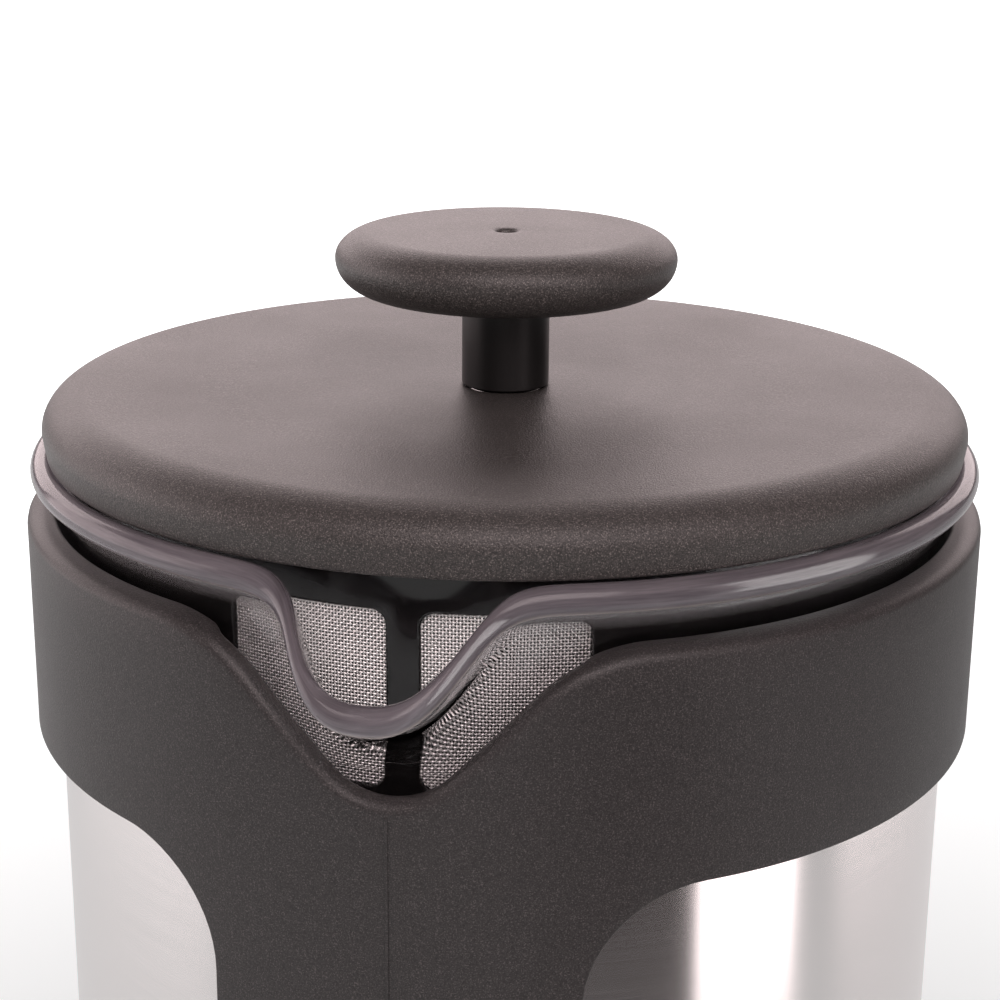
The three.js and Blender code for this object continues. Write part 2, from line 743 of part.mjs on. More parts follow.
function place(name, geometry, look) {
  const mesh = new THREE.Mesh(geometry, new THREE.MeshStandardMaterial(look));
  mesh.name = name;
  press.add(mesh);
}

place("frame", frame(), texturedBlack);
place("steel_sleeve", steelSleeve(), brushedSteel);
place("beaker_cushion", beakerCushion(), silicone);
place("non_slip_pad", nonSlipPad(), silicone);
place("handle", handle(), texturedBlack);
place("handle_screw_upper", handleScrew(handleTopZ), polishedSteel);
place("handle_screw_lower", handleScrew(handleBottomZ), polishedSteel);
place("glass_beaker", glassBeaker(), clearGlass);
place("lid_cover", lidCover(), texturedBlack);
place("strainer_skirt", strainerSkirt(), glossBlack);
place("strainer_mesh_left", strainerMesh(-1), brushedSteel);
place("strainer_mesh_right", strainerMesh(1), brushedSteel);
place("rod_guide_bush", rodGuideBush(), polishedSteel);
place("knob", knob(), texturedBlack);
place("knob_neck", knobNeck(), glossBlack);
place("knob_insert", knobInsert(), brass);
place("plunger_rod", plungerRod(), polishedSteel);
place("rod_collar", rodCollar(), polishedSteel);
place("spreader_plate", spreaderPlate(), polishedSteel);
place("spring_coil", springCoil(), polishedSteel);
place("filter_screen", filterScreen(), brushedSteel);
place("cross_plate", crossPlate(), polishedSteel);
place("lock_nut", lockNut(), polishedSteel);

export default press;
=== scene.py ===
# Looks for the French press: fine meshes, materials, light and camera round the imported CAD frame.
# Sizes are in millimetres until a mesh is made, and angles on the body are measured from the
# spout (-Y) towards +X. Blender itself works in metres.
import math

import bmesh
import bpy
import numpy as np
from mathutils import Matrix, Vector
from mathutils.geometry import delaunay_2d_cdt


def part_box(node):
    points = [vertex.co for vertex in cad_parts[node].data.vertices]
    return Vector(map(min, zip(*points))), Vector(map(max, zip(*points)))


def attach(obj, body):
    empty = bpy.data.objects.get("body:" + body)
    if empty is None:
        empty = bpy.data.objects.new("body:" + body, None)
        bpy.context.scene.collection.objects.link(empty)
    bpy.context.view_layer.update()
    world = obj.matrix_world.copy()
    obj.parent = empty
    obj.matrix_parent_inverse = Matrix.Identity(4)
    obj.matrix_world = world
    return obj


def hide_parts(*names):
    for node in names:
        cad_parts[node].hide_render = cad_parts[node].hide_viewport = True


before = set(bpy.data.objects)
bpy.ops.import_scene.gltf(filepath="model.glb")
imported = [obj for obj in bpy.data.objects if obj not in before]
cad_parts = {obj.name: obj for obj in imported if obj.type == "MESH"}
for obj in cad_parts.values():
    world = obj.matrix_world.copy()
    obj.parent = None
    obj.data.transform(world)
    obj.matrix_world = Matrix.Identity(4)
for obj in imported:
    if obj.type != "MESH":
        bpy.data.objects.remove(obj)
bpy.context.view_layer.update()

MM = 0.001
TAU = 2 * math.pi


def low(node):
    """Lowest corner of a CAD node, in millimetres."""
    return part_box(node)[0] / MM


def high(node):
    """Highest corner of a CAD node, in millimetres."""
    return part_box(node)[1] / MM


def span(node):
    """Lowest and highest corner of a CAD node."""
    return low(node), high(node)


# ---- sizes

# A radius below ON_AXIS is on the axis. GAP parts pieces that meet, and FREE_GAP those that
# slip past each other.
ON_AXIS = 1e-6
GAP = 0.1
FREE_GAP = 0.3

# Glass
BEAD = 1.45
GLASS_WALL = 1.8
GLASS_FLOOR = 3.0
GLASS_FOOT = 9.0
BEAD_REACH = 1.5
FLARE = 5.0
SPOUT_HALF_WIDTH = 7.86
SPOUT_DEPTH = 18.2
bead_radius = high("glass_beaker").x - BEAD
rim_z = high("glass_beaker").z - BEAD
glass_bottom = low("glass_beaker").z
glass_outer = bead_radius - BEAD_REACH
glass_inner = glass_outer - GLASS_WALL
spout_reach = -low("glass_beaker").y - bead_radius - BEAD
SPOUT_DIP = 8.6
SPOUT_REACH_POWER = 3.5
SPOUT_DIP_POWER = 2.55

# Frame
FRAME_WALL = 2.26
COLLAR_HEIGHT = 24.1
COLLAR_LIP = 1.3
COLLAR_THICKER = 0.84
COLLAR_BLEND = 1.5
COLLAR_INNER_ROUND = 0.5
SPOUT_RELIEF = 18.0
RELIEF_BLEND = 2
NOTCH_DEPTH = 15.1
NOTCH_BOTTOM = 8.5
NOTCH_TOP = 16.0
ARM_WIDTH = 37.6

# Handle and the blocks it is screwed to
BAR_HALF_WIDTH = 11
BAR_HALF_THICK = 6
BAR_ROUND = 5
BAR_BULGE = 0.8
BOSS_HALF_HEIGHT = 7.5
BOSS_ROUND = 3

# Windows, base and sleeve
WINDOW_CORNER = 12.2
WINDOW_EDGE = 0.25
SHEET = 0.5
BASE_RING = 13.5
BASE_ROUND = 2.0
frame_outer = high("frame").x
frame_inner = frame_outer - FRAME_WALL
frame_bottom = low("frame").z
collar_top = high("frame").z
collar_bottom = collar_top - COLLAR_HEIGHT
FRAME_FLOOR = 3.0
FRAME_SEGMENTS = 240
floor_top = low("beaker_cushion").z - GAP
floor_under = floor_top - FRAME_FLOOR
collar_step = high("steel_sleeve").z + FREE_GAP

# Strainer skirt
SKIRT_WALL = 1.6
BAR = 3.4
STRAINER_WIDTH = 16.1
STRAINER_TOP = 3.3
STRAINER_BOTTOM = 21.0
STRAINER_ROUND = 1.5
skirt_outer = high("strainer_skirt").x
skirt_inner = skirt_outer - SKIRT_WALL
SKIRT_SEGMENTS = 200

# Lid's hole, knob's neck and rod
LID_HOLE = 4.5
NECK_BORE = 3.6
BORE = 2.7
rod_lo, rod_hi = span("plunger_rod")
rod_radius = rod_hi.x

# ---- outlines


def arc(cx, cy, rx, ry, start, end, steps):
    """Points of an elliptical arc, angles in degrees."""
    t = np.radians(np.linspace(start, end, steps + 1))
    return [(cx + rx * math.cos(a), cy + ry * math.sin(a)) for a in t]


def filleted(corners, steps=6):
    """An outline of (x, y) or (x, y, radius) corners, with the given ones rounded."""
    points = []
    count = len(corners)
    for i, corner in enumerate(corners):
        p = Vector(corner[:2])
        radius = corner[2] if len(corner) > 2 else 0
        if not radius:
            points.append(tuple(p))
            continue
        a = (Vector(corners[i - 1][:2]) - p).normalized()
        b = (Vector(corners[(i + 1) % count][:2]) - p).normalized()
        half = a.angle(b) / 2
        centre = p + (a + b).normalized() * (radius / math.sin(half))
        reach = radius / math.tan(half)
        start, end = p + a * reach - centre, p + b * reach - centre
        turn = start.angle_signed(end)
        for k in range(steps + 1):
            angle = -turn * k / steps
            c, s = math.cos(angle), math.sin(angle)
            spun = Vector((c * start.x - s * start.y, s * start.x + c * start.y))
            points.append(tuple(centre + spun))
    return points


def spaced(points, gap, closed=False):
    """The same outline with points added so that no two are further apart than gap."""
    out = []
    pairs = list(zip(points, points[1:] + points[:1] if closed else points[1:]))
    for a, b in pairs:
        a, b = np.array(a, float), np.array(b, float)
        n = max(1, math.ceil(np.linalg.norm(b - a) / gap))
        out += [tuple(a + (b - a) * k / n) for k in range(n)]
    if not closed:
        out.append(tuple(points[-1]))
    return out


def rectangle(x0, y0, x1, y1, radius):
    """Corners of a rectangle, anticlockwise, for filleted to round."""
    return [(x0, y0, radius), (x1, y0, radius), (x1, y1, radius), (x0, y1, radius)]


# ---- meshes


def turned(profile, segments=160, angles=None, closes=True):
    """Turns (radius, z) points about Z. Points on the axis become poles, and a profile that
    doesn't start on the axis closes on itself unless closes is False."""
    if angles is None:
        angles = np.arange(segments) * TAU / segments
    n = len(angles)
    sin, cos = np.sin(angles), np.cos(angles)
    verts, rows = [], []
    for r, z in profile:
        if r < ON_AXIS:
            rows.append([len(verts)] * n)
            verts.append((0, 0, z))
        else:
            rows.append(list(range(len(verts), len(verts) + n)))
            verts += list(zip(r * sin, -r * cos, [z] * n))
    if closes and profile[0][0] >= ON_AXIS:
        rows.append(rows[0])
    faces = []
    for a, b in zip(rows, rows[1:]):
        for i in range(n):
            j = (i + 1) % n
            ring = [a[i], a[j], b[j], b[i]]
            face = [v for k, v in enumerate(ring) if v != ring[k - 1]]
            if len(face) > 2:
                faces.append(face)
    return verts, faces


def wrap(u, v, w):
    """A point of the unrolled wall, u along it at the frame's outer radius, on radius w."""
    angle = u / frame_outer
    return (w * np.sin(angle), -w * np.cos(angle), v)


def flat(u, v, w):
    """A point of a slab that lies level."""
    return (u, v, w)


def upright(u, v, w):
    """A point of a slab that stands across Y."""
    return (u, w, v)


def inside(points, polygon):
    """Which points lie in the polygon."""
    x, y = points[:, 0][:, None], points[:, 1][:, None]
    a = np.array(polygon, float)
    b = np.roll(a, -1, axis=0)
    crosses = (a[:, 1] > y) != (b[:, 1] > y)
    rise = np.where(b[:, 1] == a[:, 1], 1e-12, b[:, 1] - a[:, 1])
    hit = x < (b[:, 0] - a[:, 0]) * (y - a[:, 1]) / rise + a[:, 0]
    return (crosses & hit).sum(1) % 2 == 1


def in_plate(points, border, holes):
    """Which points lie in the border and in none of the holes."""
    keep = inside(points, border)
    for hole in holes:
        keep &= ~inside(points, hole)
    return keep


def edge_profile(outer, inner, round_out, round_in, steps=5):
    """(inset, level) points of a slab's edge, from its outer face to its inner face."""
    sign = 1 if outer > inner else -1
    points, ends = [], []
    for t in np.linspace(0, math.pi / 2, steps + 1):
        s, c = 1 - math.sin(t), 1 - math.cos(t)
        points.append((round_out * s, outer - sign * round_out * c))
        ends.append((round_in * c, inner + sign * round_in * s))
    return points + ends


def directions(p, closed=False):
    """Unit directions of travel at the points of a path."""
    if closed:
        along = np.roll(p, -1, axis=0) - np.roll(p, 1, axis=0)
    else:
        along = np.gradient(p, axis=0)
    return along / np.linalg.norm(along, axis=1)[:, None]


def normals_into(points, closed):
    """Unit normals on the left of an outline's direction of travel."""
    along = directions(points, closed)
    return np.stack([-along[:, 1], along[:, 0]], 1)


# How far a slab's inner points stay from its outlines, as a share of their spacing, and how
# close two points are to count as one.
EDGE_CLEARANCE = 0.45
MERGE = 1e-7


def slab(border, holes, outer, inner, place, spacing, rounds, period=None):
    """A plate with rounded edges, cut to an outline with holes and bent by place(u, v, level).
    border is one closed outline, anticlockwise, or for a wall that goes all the way round
    (period) a pair of open ones, lower and upper, that run along +u. holes are closed
    outlines, anticlockwise. rounds gives the two edge radii for each border and hole."""
    loops = []
    if period:
        loops.append((list(border[1])[::-1], False))
    else:
        loops.append((list(border), True))
    loops += [(list(h)[::-1], True) for h in holes]
    verts, faces = [], []

    def add(points, level):
        start = len(verts)
        for u, v in points:
            verts.append(place(u, v, level))
        return list(range(start, len(verts)))

    ends = {"outer": [], "inner": []}
    for (points, closed), (round_out, round_in) in zip(loops, rounds):
        p, n = np.array(points, float), normals_into(points, closed)
        if not closed:
            n[0] = n[-1] = (0, -1)
        rows = []
        profile = edge_profile(outer, inner, round_out, round_in)
        for inset, level in profile:
            rows.append(add(p + n * inset, level))
        ends["outer"].append(p + n * profile[0][0])
        ends["inner"].append(p + n * profile[-1][0])
        for a, b in zip(rows, rows[1:]):
            for i in range(len(a) - (0 if closed else 1)):
                j = (i + 1) % len(a)
                faces.append([a[i], b[i], b[j], a[j]])

    for side, level in (("outer", outer), ("inner", inner)):
        outlines = ends[side]
        flat_points, flat_edges = [], []

        def add_outline(points):
            start = len(flat_points)
            flat_points.extend(map(tuple, points))
            m = len(points)
            flat_edges.extend((start + i, start + (i + 1) % m) for i in range(m))

        if period:
            lower = np.array(border[0], float)
            upper = outlines[0][::-1]
            levels = np.arange(lower[0][1] + spacing[1], upper[0][1] - spacing[1] / 2, spacing[1])
            right = [(upper[-1][0], v) for v in levels]
            left = [(upper[0][0], v) for v in levels[::-1]]
            region = [*map(tuple, lower), *right, *map(tuple, upper[::-1]), *left]
        else:
            region = list(map(tuple, outlines[0]))
        add_outline(region)
        hole_outlines = [list(map(tuple, o)) for o in outlines[1:]]
        for hole in hole_outlines:
            add_outline(hole)
        edge_points = np.array(flat_points)
        (u0, v0), (u1, v1) = edge_points.min(0), edge_points.max(0)
        us = np.linspace(u0, u1, max(2, round((u1 - u0) / spacing[0])) + 1)[1:-1]
        vs = np.linspace(v0, v1, max(2, round((v1 - v0) / spacing[1])) + 1)[1:-1]
        grid = np.array([(u, v) for u in us for v in vs]).reshape(-1, 2)
        grid = grid[in_plate(grid, region, hole_outlines)]
        away = EDGE_CLEARANCE * min(spacing)
        clear = [np.hypot(*(edge_points - g).T).min() > away for g in grid]
        flat_points.extend(map(tuple, grid[np.array(clear, bool)]))
        made = delaunay_2d_cdt([Vector(p) for p in flat_points], flat_edges, [], 0, MERGE)
        co = np.array([tuple(v) for v in made[0]])
        tris = np.array([f for f in made[2] if len(f) == 3])
        ids = add(co, level)
        for tri in tris[in_plate(co[tris].mean(1), region, hole_outlines)]:
            face = [ids[i] for i in tri]
            faces.append(face if side == "outer" else face[::-1])
    return verts, faces


def joined(*pieces):
    """Several (verts, faces) as one."""
    verts, faces = [], []
    for v, f in pieces:
        start = len(verts)
        verts += list(v)
        faces += [[i + start for i in face] for face in f]
    return verts, faces


def swept(section, path, side):
    """Sweeps a closed section of (across, thick) points along a path; across runs along side."""
    p = np.array(path, float)
    side = np.array(side, float)
    verts, faces, n = [], [], len(section)
    for point, t in zip(p, directions(p)):
        up = np.cross(t, side)
        up /= np.linalg.norm(up)
        verts += [tuple(point + side * a + up * b) for a, b in section]
    for k in range(len(p) - 1):
        for i in range(n):
            j = (i + 1) % n
            faces.append([k * n + i, k * n + j, (k + 1) * n + j, (k + 1) * n + i])
    faces.append(list(range(n))[::-1])
    faces.append([(len(p) - 1) * n + i for i in range(n)])
    return verts, faces


# No wire sets out in this direction.
ASKEW = (0.3, 0.5, 0.81)


def tube(path, radius, sides, closed=False):
    """A round wire along a path, with its frame carried along without twist."""
    p = np.array(path, float)
    along = directions(p, closed)
    normal = np.cross(along[0], ASKEW)
    verts, faces = [], []
    angles = np.arange(sides) * TAU / sides
    for point, t in zip(p, along):
        normal = normal - t * np.dot(normal, t)
        normal /= np.linalg.norm(normal)
        other = np.cross(t, normal)
        ring = point + radius * (np.cos(angles)[:, None] * normal + np.sin(angles)[:, None] * other)
        verts += [tuple(q) for q in ring]
    rows = len(p)
    for k in range(rows if closed else rows - 1):
        a, b = k * sides, ((k + 1) % rows) * sides
        for i in range(sides):
            j = (i + 1) % sides
            faces.append([a + i, a + j, b + j, b + i])
    if not closed:
        faces.append(list(range(sides))[::-1])
        faces.append([(rows - 1) * sides + i for i in range(sides)])
    return verts, faces


# Metres, within which points are joined and edges dropped
WELD = 1e-6
SHORT_EDGE = 1e-7


def piece(name, shape, look, body, nodes, sharp=40, weld=True):
    """Makes a Blender object of (verts, faces) in millimetres, and puts it on its body."""
    verts, faces = shape
    mesh = bpy.data.meshes.new(name)
    mesh.from_pydata([(x * MM, y * MM, z * MM) for x, y, z in verts], [], faces)
    bm = bmesh.new()
    bm.from_mesh(mesh)
    if weld:
        bmesh.ops.remove_doubles(bm, verts=bm.verts, dist=WELD)
        bmesh.ops.dissolve_degenerate(bm, edges=bm.edges, dist=SHORT_EDGE)
    bmesh.ops.recalc_face_normals(bm, faces=bm.faces)
    bm.to_mesh(mesh)
    bm.free()
    mesh.shade_smooth()
    if sharp:
        mesh.set_sharp_from_angle(angle=math.radians(sharp))
    mesh.materials.append(look)
    obj = bpy.data.objects.new(name, mesh)
    bpy.context.scene.collection.objects.link(obj)
    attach(obj, body)
    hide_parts(*nodes)
    return obj


# ---- materials

# The colour sockets of a Mix node, and the range that most of a noise lies in
MIX_SHARE, MIX_A, MIX_B, MIX_RESULT = 0, 6, 7, 2
NOISE_LOW, NOISE_HIGH = 0.3, 0.7


class Look:
    """A node material round one Principled shader."""

    def __init__(self, name, **values):
        self.material = bpy.data.materials.new(name)
        self.material.use_nodes = True
        self.tree = self.material.node_tree
        self.shader = self.tree.nodes["Principled BSDF"]
        for key, value in values.items():
            self.shader.inputs[key.replace("_", " ")].default_value = value

    def node(self, kind, **settings):
        made = self.tree.nodes.new("ShaderNode" + kind)
        for key, value in settings.items():
            setattr(made, key, value)
        return made

    def link(self, source, target):
        self.tree.links.new(source, target)

    def coordinates(self):
        return self.node("TexCoord").outputs["Object"]

    def split(self):
        parts = self.node("SeparateXYZ")
        self.link(self.coordinates(), parts.inputs[0])
        return parts.outputs

    def attribute(self, name):
        made = self.node("Attribute", attribute_type="GEOMETRY", attribute_name=name)
        return made.outputs["Fac"]

    def maths(self, operation, a, b=0.0):
        made = self.node("Math", operation=operation)
        for socket, value in zip(made.inputs, (a, b)):
            if isinstance(value, (int, float)):
                socket.default_value = value
            else:
                self.link(value, socket)
        return made.outputs[0]

    def noise(self, vector, scale, detail=2.0, rough=0.5):
        made = self.node("TexNoise")
        made.inputs["Scale"].default_value = scale
        made.inputs["Detail"].default_value = detail
        made.inputs["Roughness"].default_value = rough
        self.link(vector, made.inputs["Vector"])
        return made.outputs["Fac"]

    def ranged(self, value, low_in, high_in, low_out, high_out):
        made = self.node("MapRange")
        made.inputs["From Min"].default_value = low_in
        made.inputs["From Max"].default_value = high_in
        made.inputs["To Min"].default_value = low_out
        made.inputs["To Max"].default_value = high_out
        self.link(value, made.inputs["Value"])
        return made.outputs["Result"]

    def over_noise(self, noise, low_out, high_out):
        """Stretches a noise over low_out to high_out."""
        return self.ranged(noise, NOISE_LOW, NOISE_HIGH, low_out, high_out)

    def tinted(self, share, dark, light):
        """Goes from dark to light, each of them a colour or a socket."""
        made = self.node("Mix", data_type="RGBA")
        self.link(share, made.inputs[MIX_SHARE])
        for socket, colour in ((made.inputs[MIX_A], dark), (made.inputs[MIX_B], light)):
            if isinstance(colour, tuple):
                socket.default_value = (*colour, 1)
            else:
                self.link(colour, socket)
        return made.outputs[MIX_RESULT]

    def bump(self, height, strength, distance):
        made = self.node("Bump")
        made.inputs["Strength"].default_value = strength
        made.inputs["Distance"].default_value = distance
        self.link(height, made.inputs["Height"])
        return made.outputs["Normal"]

    def set(self, key, source):
        self.link(source, self.shader.inputs[key])


# Heights of the grain and the brushing in metres, the brushing's noise cells along and across,
# the pitch of the filter's cloth in millimetres, and the colours of the rim and the glass. The
# rim's colours are painted light: a dark-to-light lavender painted in for the surroundings seen
# blurred through the bead, and a light line painted along its lower side as a highlight
GRAIN_HEIGHT = 0.08 * MM
BRUSH_HEIGHT = 0.003 * MM
BRUSH_STRETCH, BRUSH_LINES = 3.0, 9000.0
CLOTH_PITCH = 0.32
RIM_PAINTED_REFRACTION_DARK = (0.21, 0.19, 0.215)
RIM_PAINTED_REFRACTION_LIGHT = (0.3, 0.275, 0.3)
RIM_PAINTED_HIGHLIGHT = (0.9, 0.82, 0.78)
GLASS_TINT = (0.965, 0.96, 0.97)
CLOUDY_CLEARNESS, CLOUDY_ROUGHNESS = 0.4, 0.16


def grained_black(name, grains, dark, light, glint, roughness, bump):
    """Matt black plastic with a fine mould grain, and here and there a light speck painted into the
    colour as a glint.
    """
    look = Look(name, Specular_IOR_Level=0.5)
    where = look.coordinates()
    grain = look.noise(where, grains, 1.5, 0.6)
    tone = look.tinted(look.ranged(grain, 0.32, 0.7, 0, 1), dark, light)
    # Painted highlight: specks of the glint colour mixed into the base colour, standing in for
    # grains that catch the light.
    painted_glints = look.ranged(look.noise(where, 1.4 * grains, 1.0), 0.55, 0.75, 0, 0.8)
    look.set("Base Color", look.tinted(painted_glints, tone, glint))
    cloud = look.noise(where, 60, 3.0)
    look.set("Roughness", look.over_noise(cloud, roughness - 0.03, roughness + 0.03))
    look.set("Normal", look.bump(grain, bump, GRAIN_HEIGHT))
    return look.material


def frame_plastic():
    # glint is the colour of the painted glint specks.
    dark, light, glint = (0.0125, 0.0112, 0.0112), (0.034, 0.0305, 0.0305), (0.11, 0.1, 0.098)
    return grained_black("textured_black", 5200, dark, light, glint, 0.44, 0.55)


def lid_plastic():
    # glint is the colour of the painted glint specks.
    dark, light, glint = (0.02, 0.0185, 0.018), (0.057, 0.0525, 0.0495), (0.21, 0.19, 0.18)
    return grained_black("lid_black", 5000, dark, light, glint, 0.4, 0.95)


def smooth_black(name, roughness):
    """Smooth black plastic with a faint unevenness in its shine."""
    look = Look(name)
    where = look.coordinates()
    cloud = look.noise(where, 140, 3.0)
    look.set("Base Color", look.tinted(cloud, (0.004, 0.0038, 0.0038), (0.008, 0.0075, 0.0075)))
    look.set("Roughness", look.over_noise(cloud, roughness - 0.03, roughness + 0.04))
    look.set("Normal", look.bump(look.noise(where, 400, 2.0), 0.02, 0.03 * MM))
    return look.material


def brushed_steel():
    """Fine lines round the axis: the noise is stretched along the angle and tight along Z."""
    look = Look("brushed_steel", Metallic=1.0, Anisotropic=0.8, Anisotropic_Rotation=0.25)
    parts = look.split()
    angle = look.maths("ARCTAN2", parts["Y"], parts["X"])
    along = look.node("CombineXYZ")
    look.link(look.maths("MULTIPLY", angle, BRUSH_STRETCH), along.inputs[0])
    look.link(look.maths("MULTIPLY", parts["Z"], BRUSH_LINES), along.inputs[1])
    lines = look.noise(along.outputs[0], 1.0, 3.0, 0.6)
    dark, light = (0.75, 0.735, 0.73), (0.79, 0.775, 0.77)
    look.set("Base Color", look.tinted(look.over_noise(lines, 0, 1), dark, light))
    look.set("Roughness", look.over_noise(lines, 0.19, 0.24))
    look.set("Normal", look.bump(lines, 0.03, BRUSH_HEIGHT))
    tangent = look.node("Tangent", direction_type="RADIAL", axis="Z")
    look.set("Tangent", tangent.outputs[0])
    return look.material


def bright_metal(name, roughness, colour):
    """Turned or drawn metal with faint marks."""
    look = Look(name, Metallic=1.0)
    marks = look.noise(look.coordinates(), 420, 4.0, 0.6)
    dark = tuple(0.86 * c for c in colour)
    look.set("Base Color", look.tinted(marks, dark, colour))
    look.set("Roughness", look.over_noise(marks, roughness - 0.03, roughness + 0.06))
    look.set("Normal", look.bump(marks, 0.03, 0.02 * MM))
    return look.material


def clear_glass():
    """Clear wall, and a cloudy rim, streaked along its length. The rim's lavender tone and streaks
    are painted refraction, standing in for the surroundings seen blurred through the bead. The
    vertex value milk says how cloudy a place is, the light line along the bead's lower side is a
    painted highlight, and section runs from 0 to 1 round the bead."""
    look = Look("clear_glass", IOR=1.47)
    parts = look.split()
    angle = look.maths("ARCTAN2", parts["Y"], parts["X"])
    along = look.node("CombineXYZ")
    look.link(look.maths("MULTIPLY", angle, 6.0), along.inputs[0])
    look.link(look.maths("MULTIPLY", look.attribute("section"), 14.0), along.inputs[1])
    streaks = look.noise(along.outputs[0], 1.0, 3.0, 0.65)
    milk = look.attribute("milk")
    cloudy = look.maths("MULTIPLY", milk, look.over_noise(streaks, 0.8, 1.0))
    # Painted refraction: the rim's lavender tone and streaks stand in for the blurred surroundings
    # seen through the bead.
    body = look.tinted(look.over_noise(streaks, 0, 1), RIM_PAINTED_REFRACTION_DARK, RIM_PAINTED_REFRACTION_LIGHT)
    # Painted highlight: a light line along the bead's lower side.
    rim = look.tinted(look.attribute("pale"), body, RIM_PAINTED_HIGHLIGHT)
    look.set("Base Color", look.tinted(milk, GLASS_TINT, rim))
    look.set("Transmission Weight", look.ranged(cloudy, 0, 1, 1, CLOUDY_CLEARNESS))
    look.set("Roughness", look.ranged(cloudy, 0, 1, 0.0, CLOUDY_ROUGHNESS))
    return look.material


def woven_pattern():
    """Wire cloth too fine to model: crossed waves give the wires their height, and the gaps
    between them are painted dark as the shade seen through the cloth."""
    look = Look("woven_pattern", Metallic=1.0, Roughness=0.34)
    parts = look.split()
    pitch = TAU / (CLOTH_PITCH * MM)
    waves = []
    for axis in ("X", "Y"):
        wave = look.maths("SINE", look.maths("MULTIPLY", parts[axis], pitch / 2))
        waves.append(look.maths("ABSOLUTE", wave))
    wires = look.maths("MAXIMUM", *waves)
    # gap is painted shade: the dark seen through the cloth's openings.
    gap, wire = (0.06, 0.06, 0.06), (0.68, 0.67, 0.66)
    look.set("Base Color", look.tinted(look.ranged(wires, 0.5, 0.9, 0, 1), gap, wire))
    look.set("Normal", look.bump(wires, 0.6, 0.08 * MM))
    return look.material


def silicone():
    look = Look("silicone")
    dust = look.noise(look.coordinates(), 2600, 3.0)
    look.set("Base Color", look.tinted(dust, (0.035, 0.034, 0.034), (0.055, 0.053, 0.052)))
    look.set("Roughness", look.over_noise(dust, 0.6, 0.75))
    look.set("Normal", look.bump(dust, 0.2, 0.04 * MM))
    return look.material


black = frame_plastic()
lid_black = lid_plastic()
gloss = smooth_black("gloss_black", 0.12)
neck_black = smooth_black("satin_black", 0.36)
brushed = brushed_steel()
bright = bright_metal("bright_steel", 0.14, (0.72, 0.71, 0.7))
wire_steel = bright_metal("wire_steel", 0.32, (0.86, 0.85, 0.84))
brass = bright_metal("turned_brass", 0.24, (0.66, 0.47, 0.2))
glass = clear_glass()
woven = woven_pattern()
rubber = silicone()

# ---- beaker


def fine_angles(fine_half=32, fine=0.75, coarse=2.5):
    """Angles round the beaker, closer together at the spout."""
    near = np.arange(-fine_half, fine_half + 1e-6, fine)
    far = np.linspace(fine_half, 360 - fine_half, round((360 - 2 * fine_half) / coarse) + 1)[1:-1]
    return np.radians(np.concatenate([near, far]))


def spout_drawn(verts):
    """Draws the rim out and down into the spout, as the CAD beaker's rim is."""
    drawn = SPOUT_DEPTH - BEAD
    out = []
    for x, y, z in verts:
        radius = math.hypot(x, y)
        along = glass_outer * abs(math.atan2(x, -y)) / SPOUT_HALF_WIDTH
        up = min(1.0, max(0.0, (z - rim_z + SPOUT_DEPTH) / drawn))
        reach = math.exp(-(along**SPOUT_REACH_POWER)) * up**1.5
        dip = math.exp(-(along**SPOUT_DIP_POWER)) * up
        grown = 1 + spout_reach * reach / max(radius, 1)
        out.append((x * grown, y * grown, z - SPOUT_DIP * dip))
    return out


CLEAR = (0.0, 0.0, 0.0)
BEAD_STEPS = 30
# Where round the bead's section the light line of the painted highlight sits, and how wide it is.
PAINTED_HIGHLIGHT_AT, PAINTED_HIGHLIGHT_HALF = 0.15, 0.1
WALL_LEVELS = (60, 40, 26, 20, 18.2, 17, 15.5, 14, 12, 10, 8, 6.5)


def glass_rows():
    """(radius, z, milk, section, share of the painted highlight) down the outside, round the rim
    bead and down the inside.
    """
    foot_r = glass_outer - GLASS_FOOT
    foot_z = glass_bottom + GLASS_FOOT
    inner_foot = GLASS_FOOT - GLASS_WALL
    floor_z = glass_bottom + GLASS_FLOOR
    levels = [rim_z - d for d in WALL_LEVELS]
    outer = [(0, glass_bottom), *arc(foot_r, foot_z, GLASS_FOOT, GLASS_FOOT, -90, 0, 12)]
    outer += [(glass_outer, z) for z in levels]
    outer += [
        (glass_outer, rim_z - FLARE),
        (glass_outer + 0.12, rim_z - 3.6),
        (glass_outer + 0.42, rim_z - 2.5),
    ]
    rows = [(*row, *CLEAR) for row in outer]
    rows.append((glass_outer + 0.86, rim_z - 1.75, 0.35, 0.0, 0.3))
    bead = arc(bead_radius, rim_z, BEAD, BEAD, -100, 172, BEAD_STEPS)
    for k, (r, z) in enumerate(bead):
        section = k / BEAD_STEPS
        # Painted highlight: a light line along the bead's lower side.
        pale = max(0.0, 1 - abs(section - PAINTED_HIGHLIGHT_AT) / PAINTED_HIGHLIGHT_HALF)
        rows.append((r, z, 1.0, section, pale))
    rows.append((glass_inner + 1.05, rim_z - 1.1, 0.7, 1.0, 0.0))
    rows.append((glass_inner + 0.45, rim_z - 2.6, 0.3, 1.0, 0.0))
    inner = [(glass_inner + 0.1, rim_z - 4.0), (glass_inner, rim_z - FLARE)]
    inner += [(glass_inner, z) for z in levels[::-1]]
    inner += arc(foot_r, floor_z + inner_foot, inner_foot, inner_foot, 0, -90, 10)
    inner.append((0, floor_z))
    return rows + [(*row, *CLEAR) for row in inner]


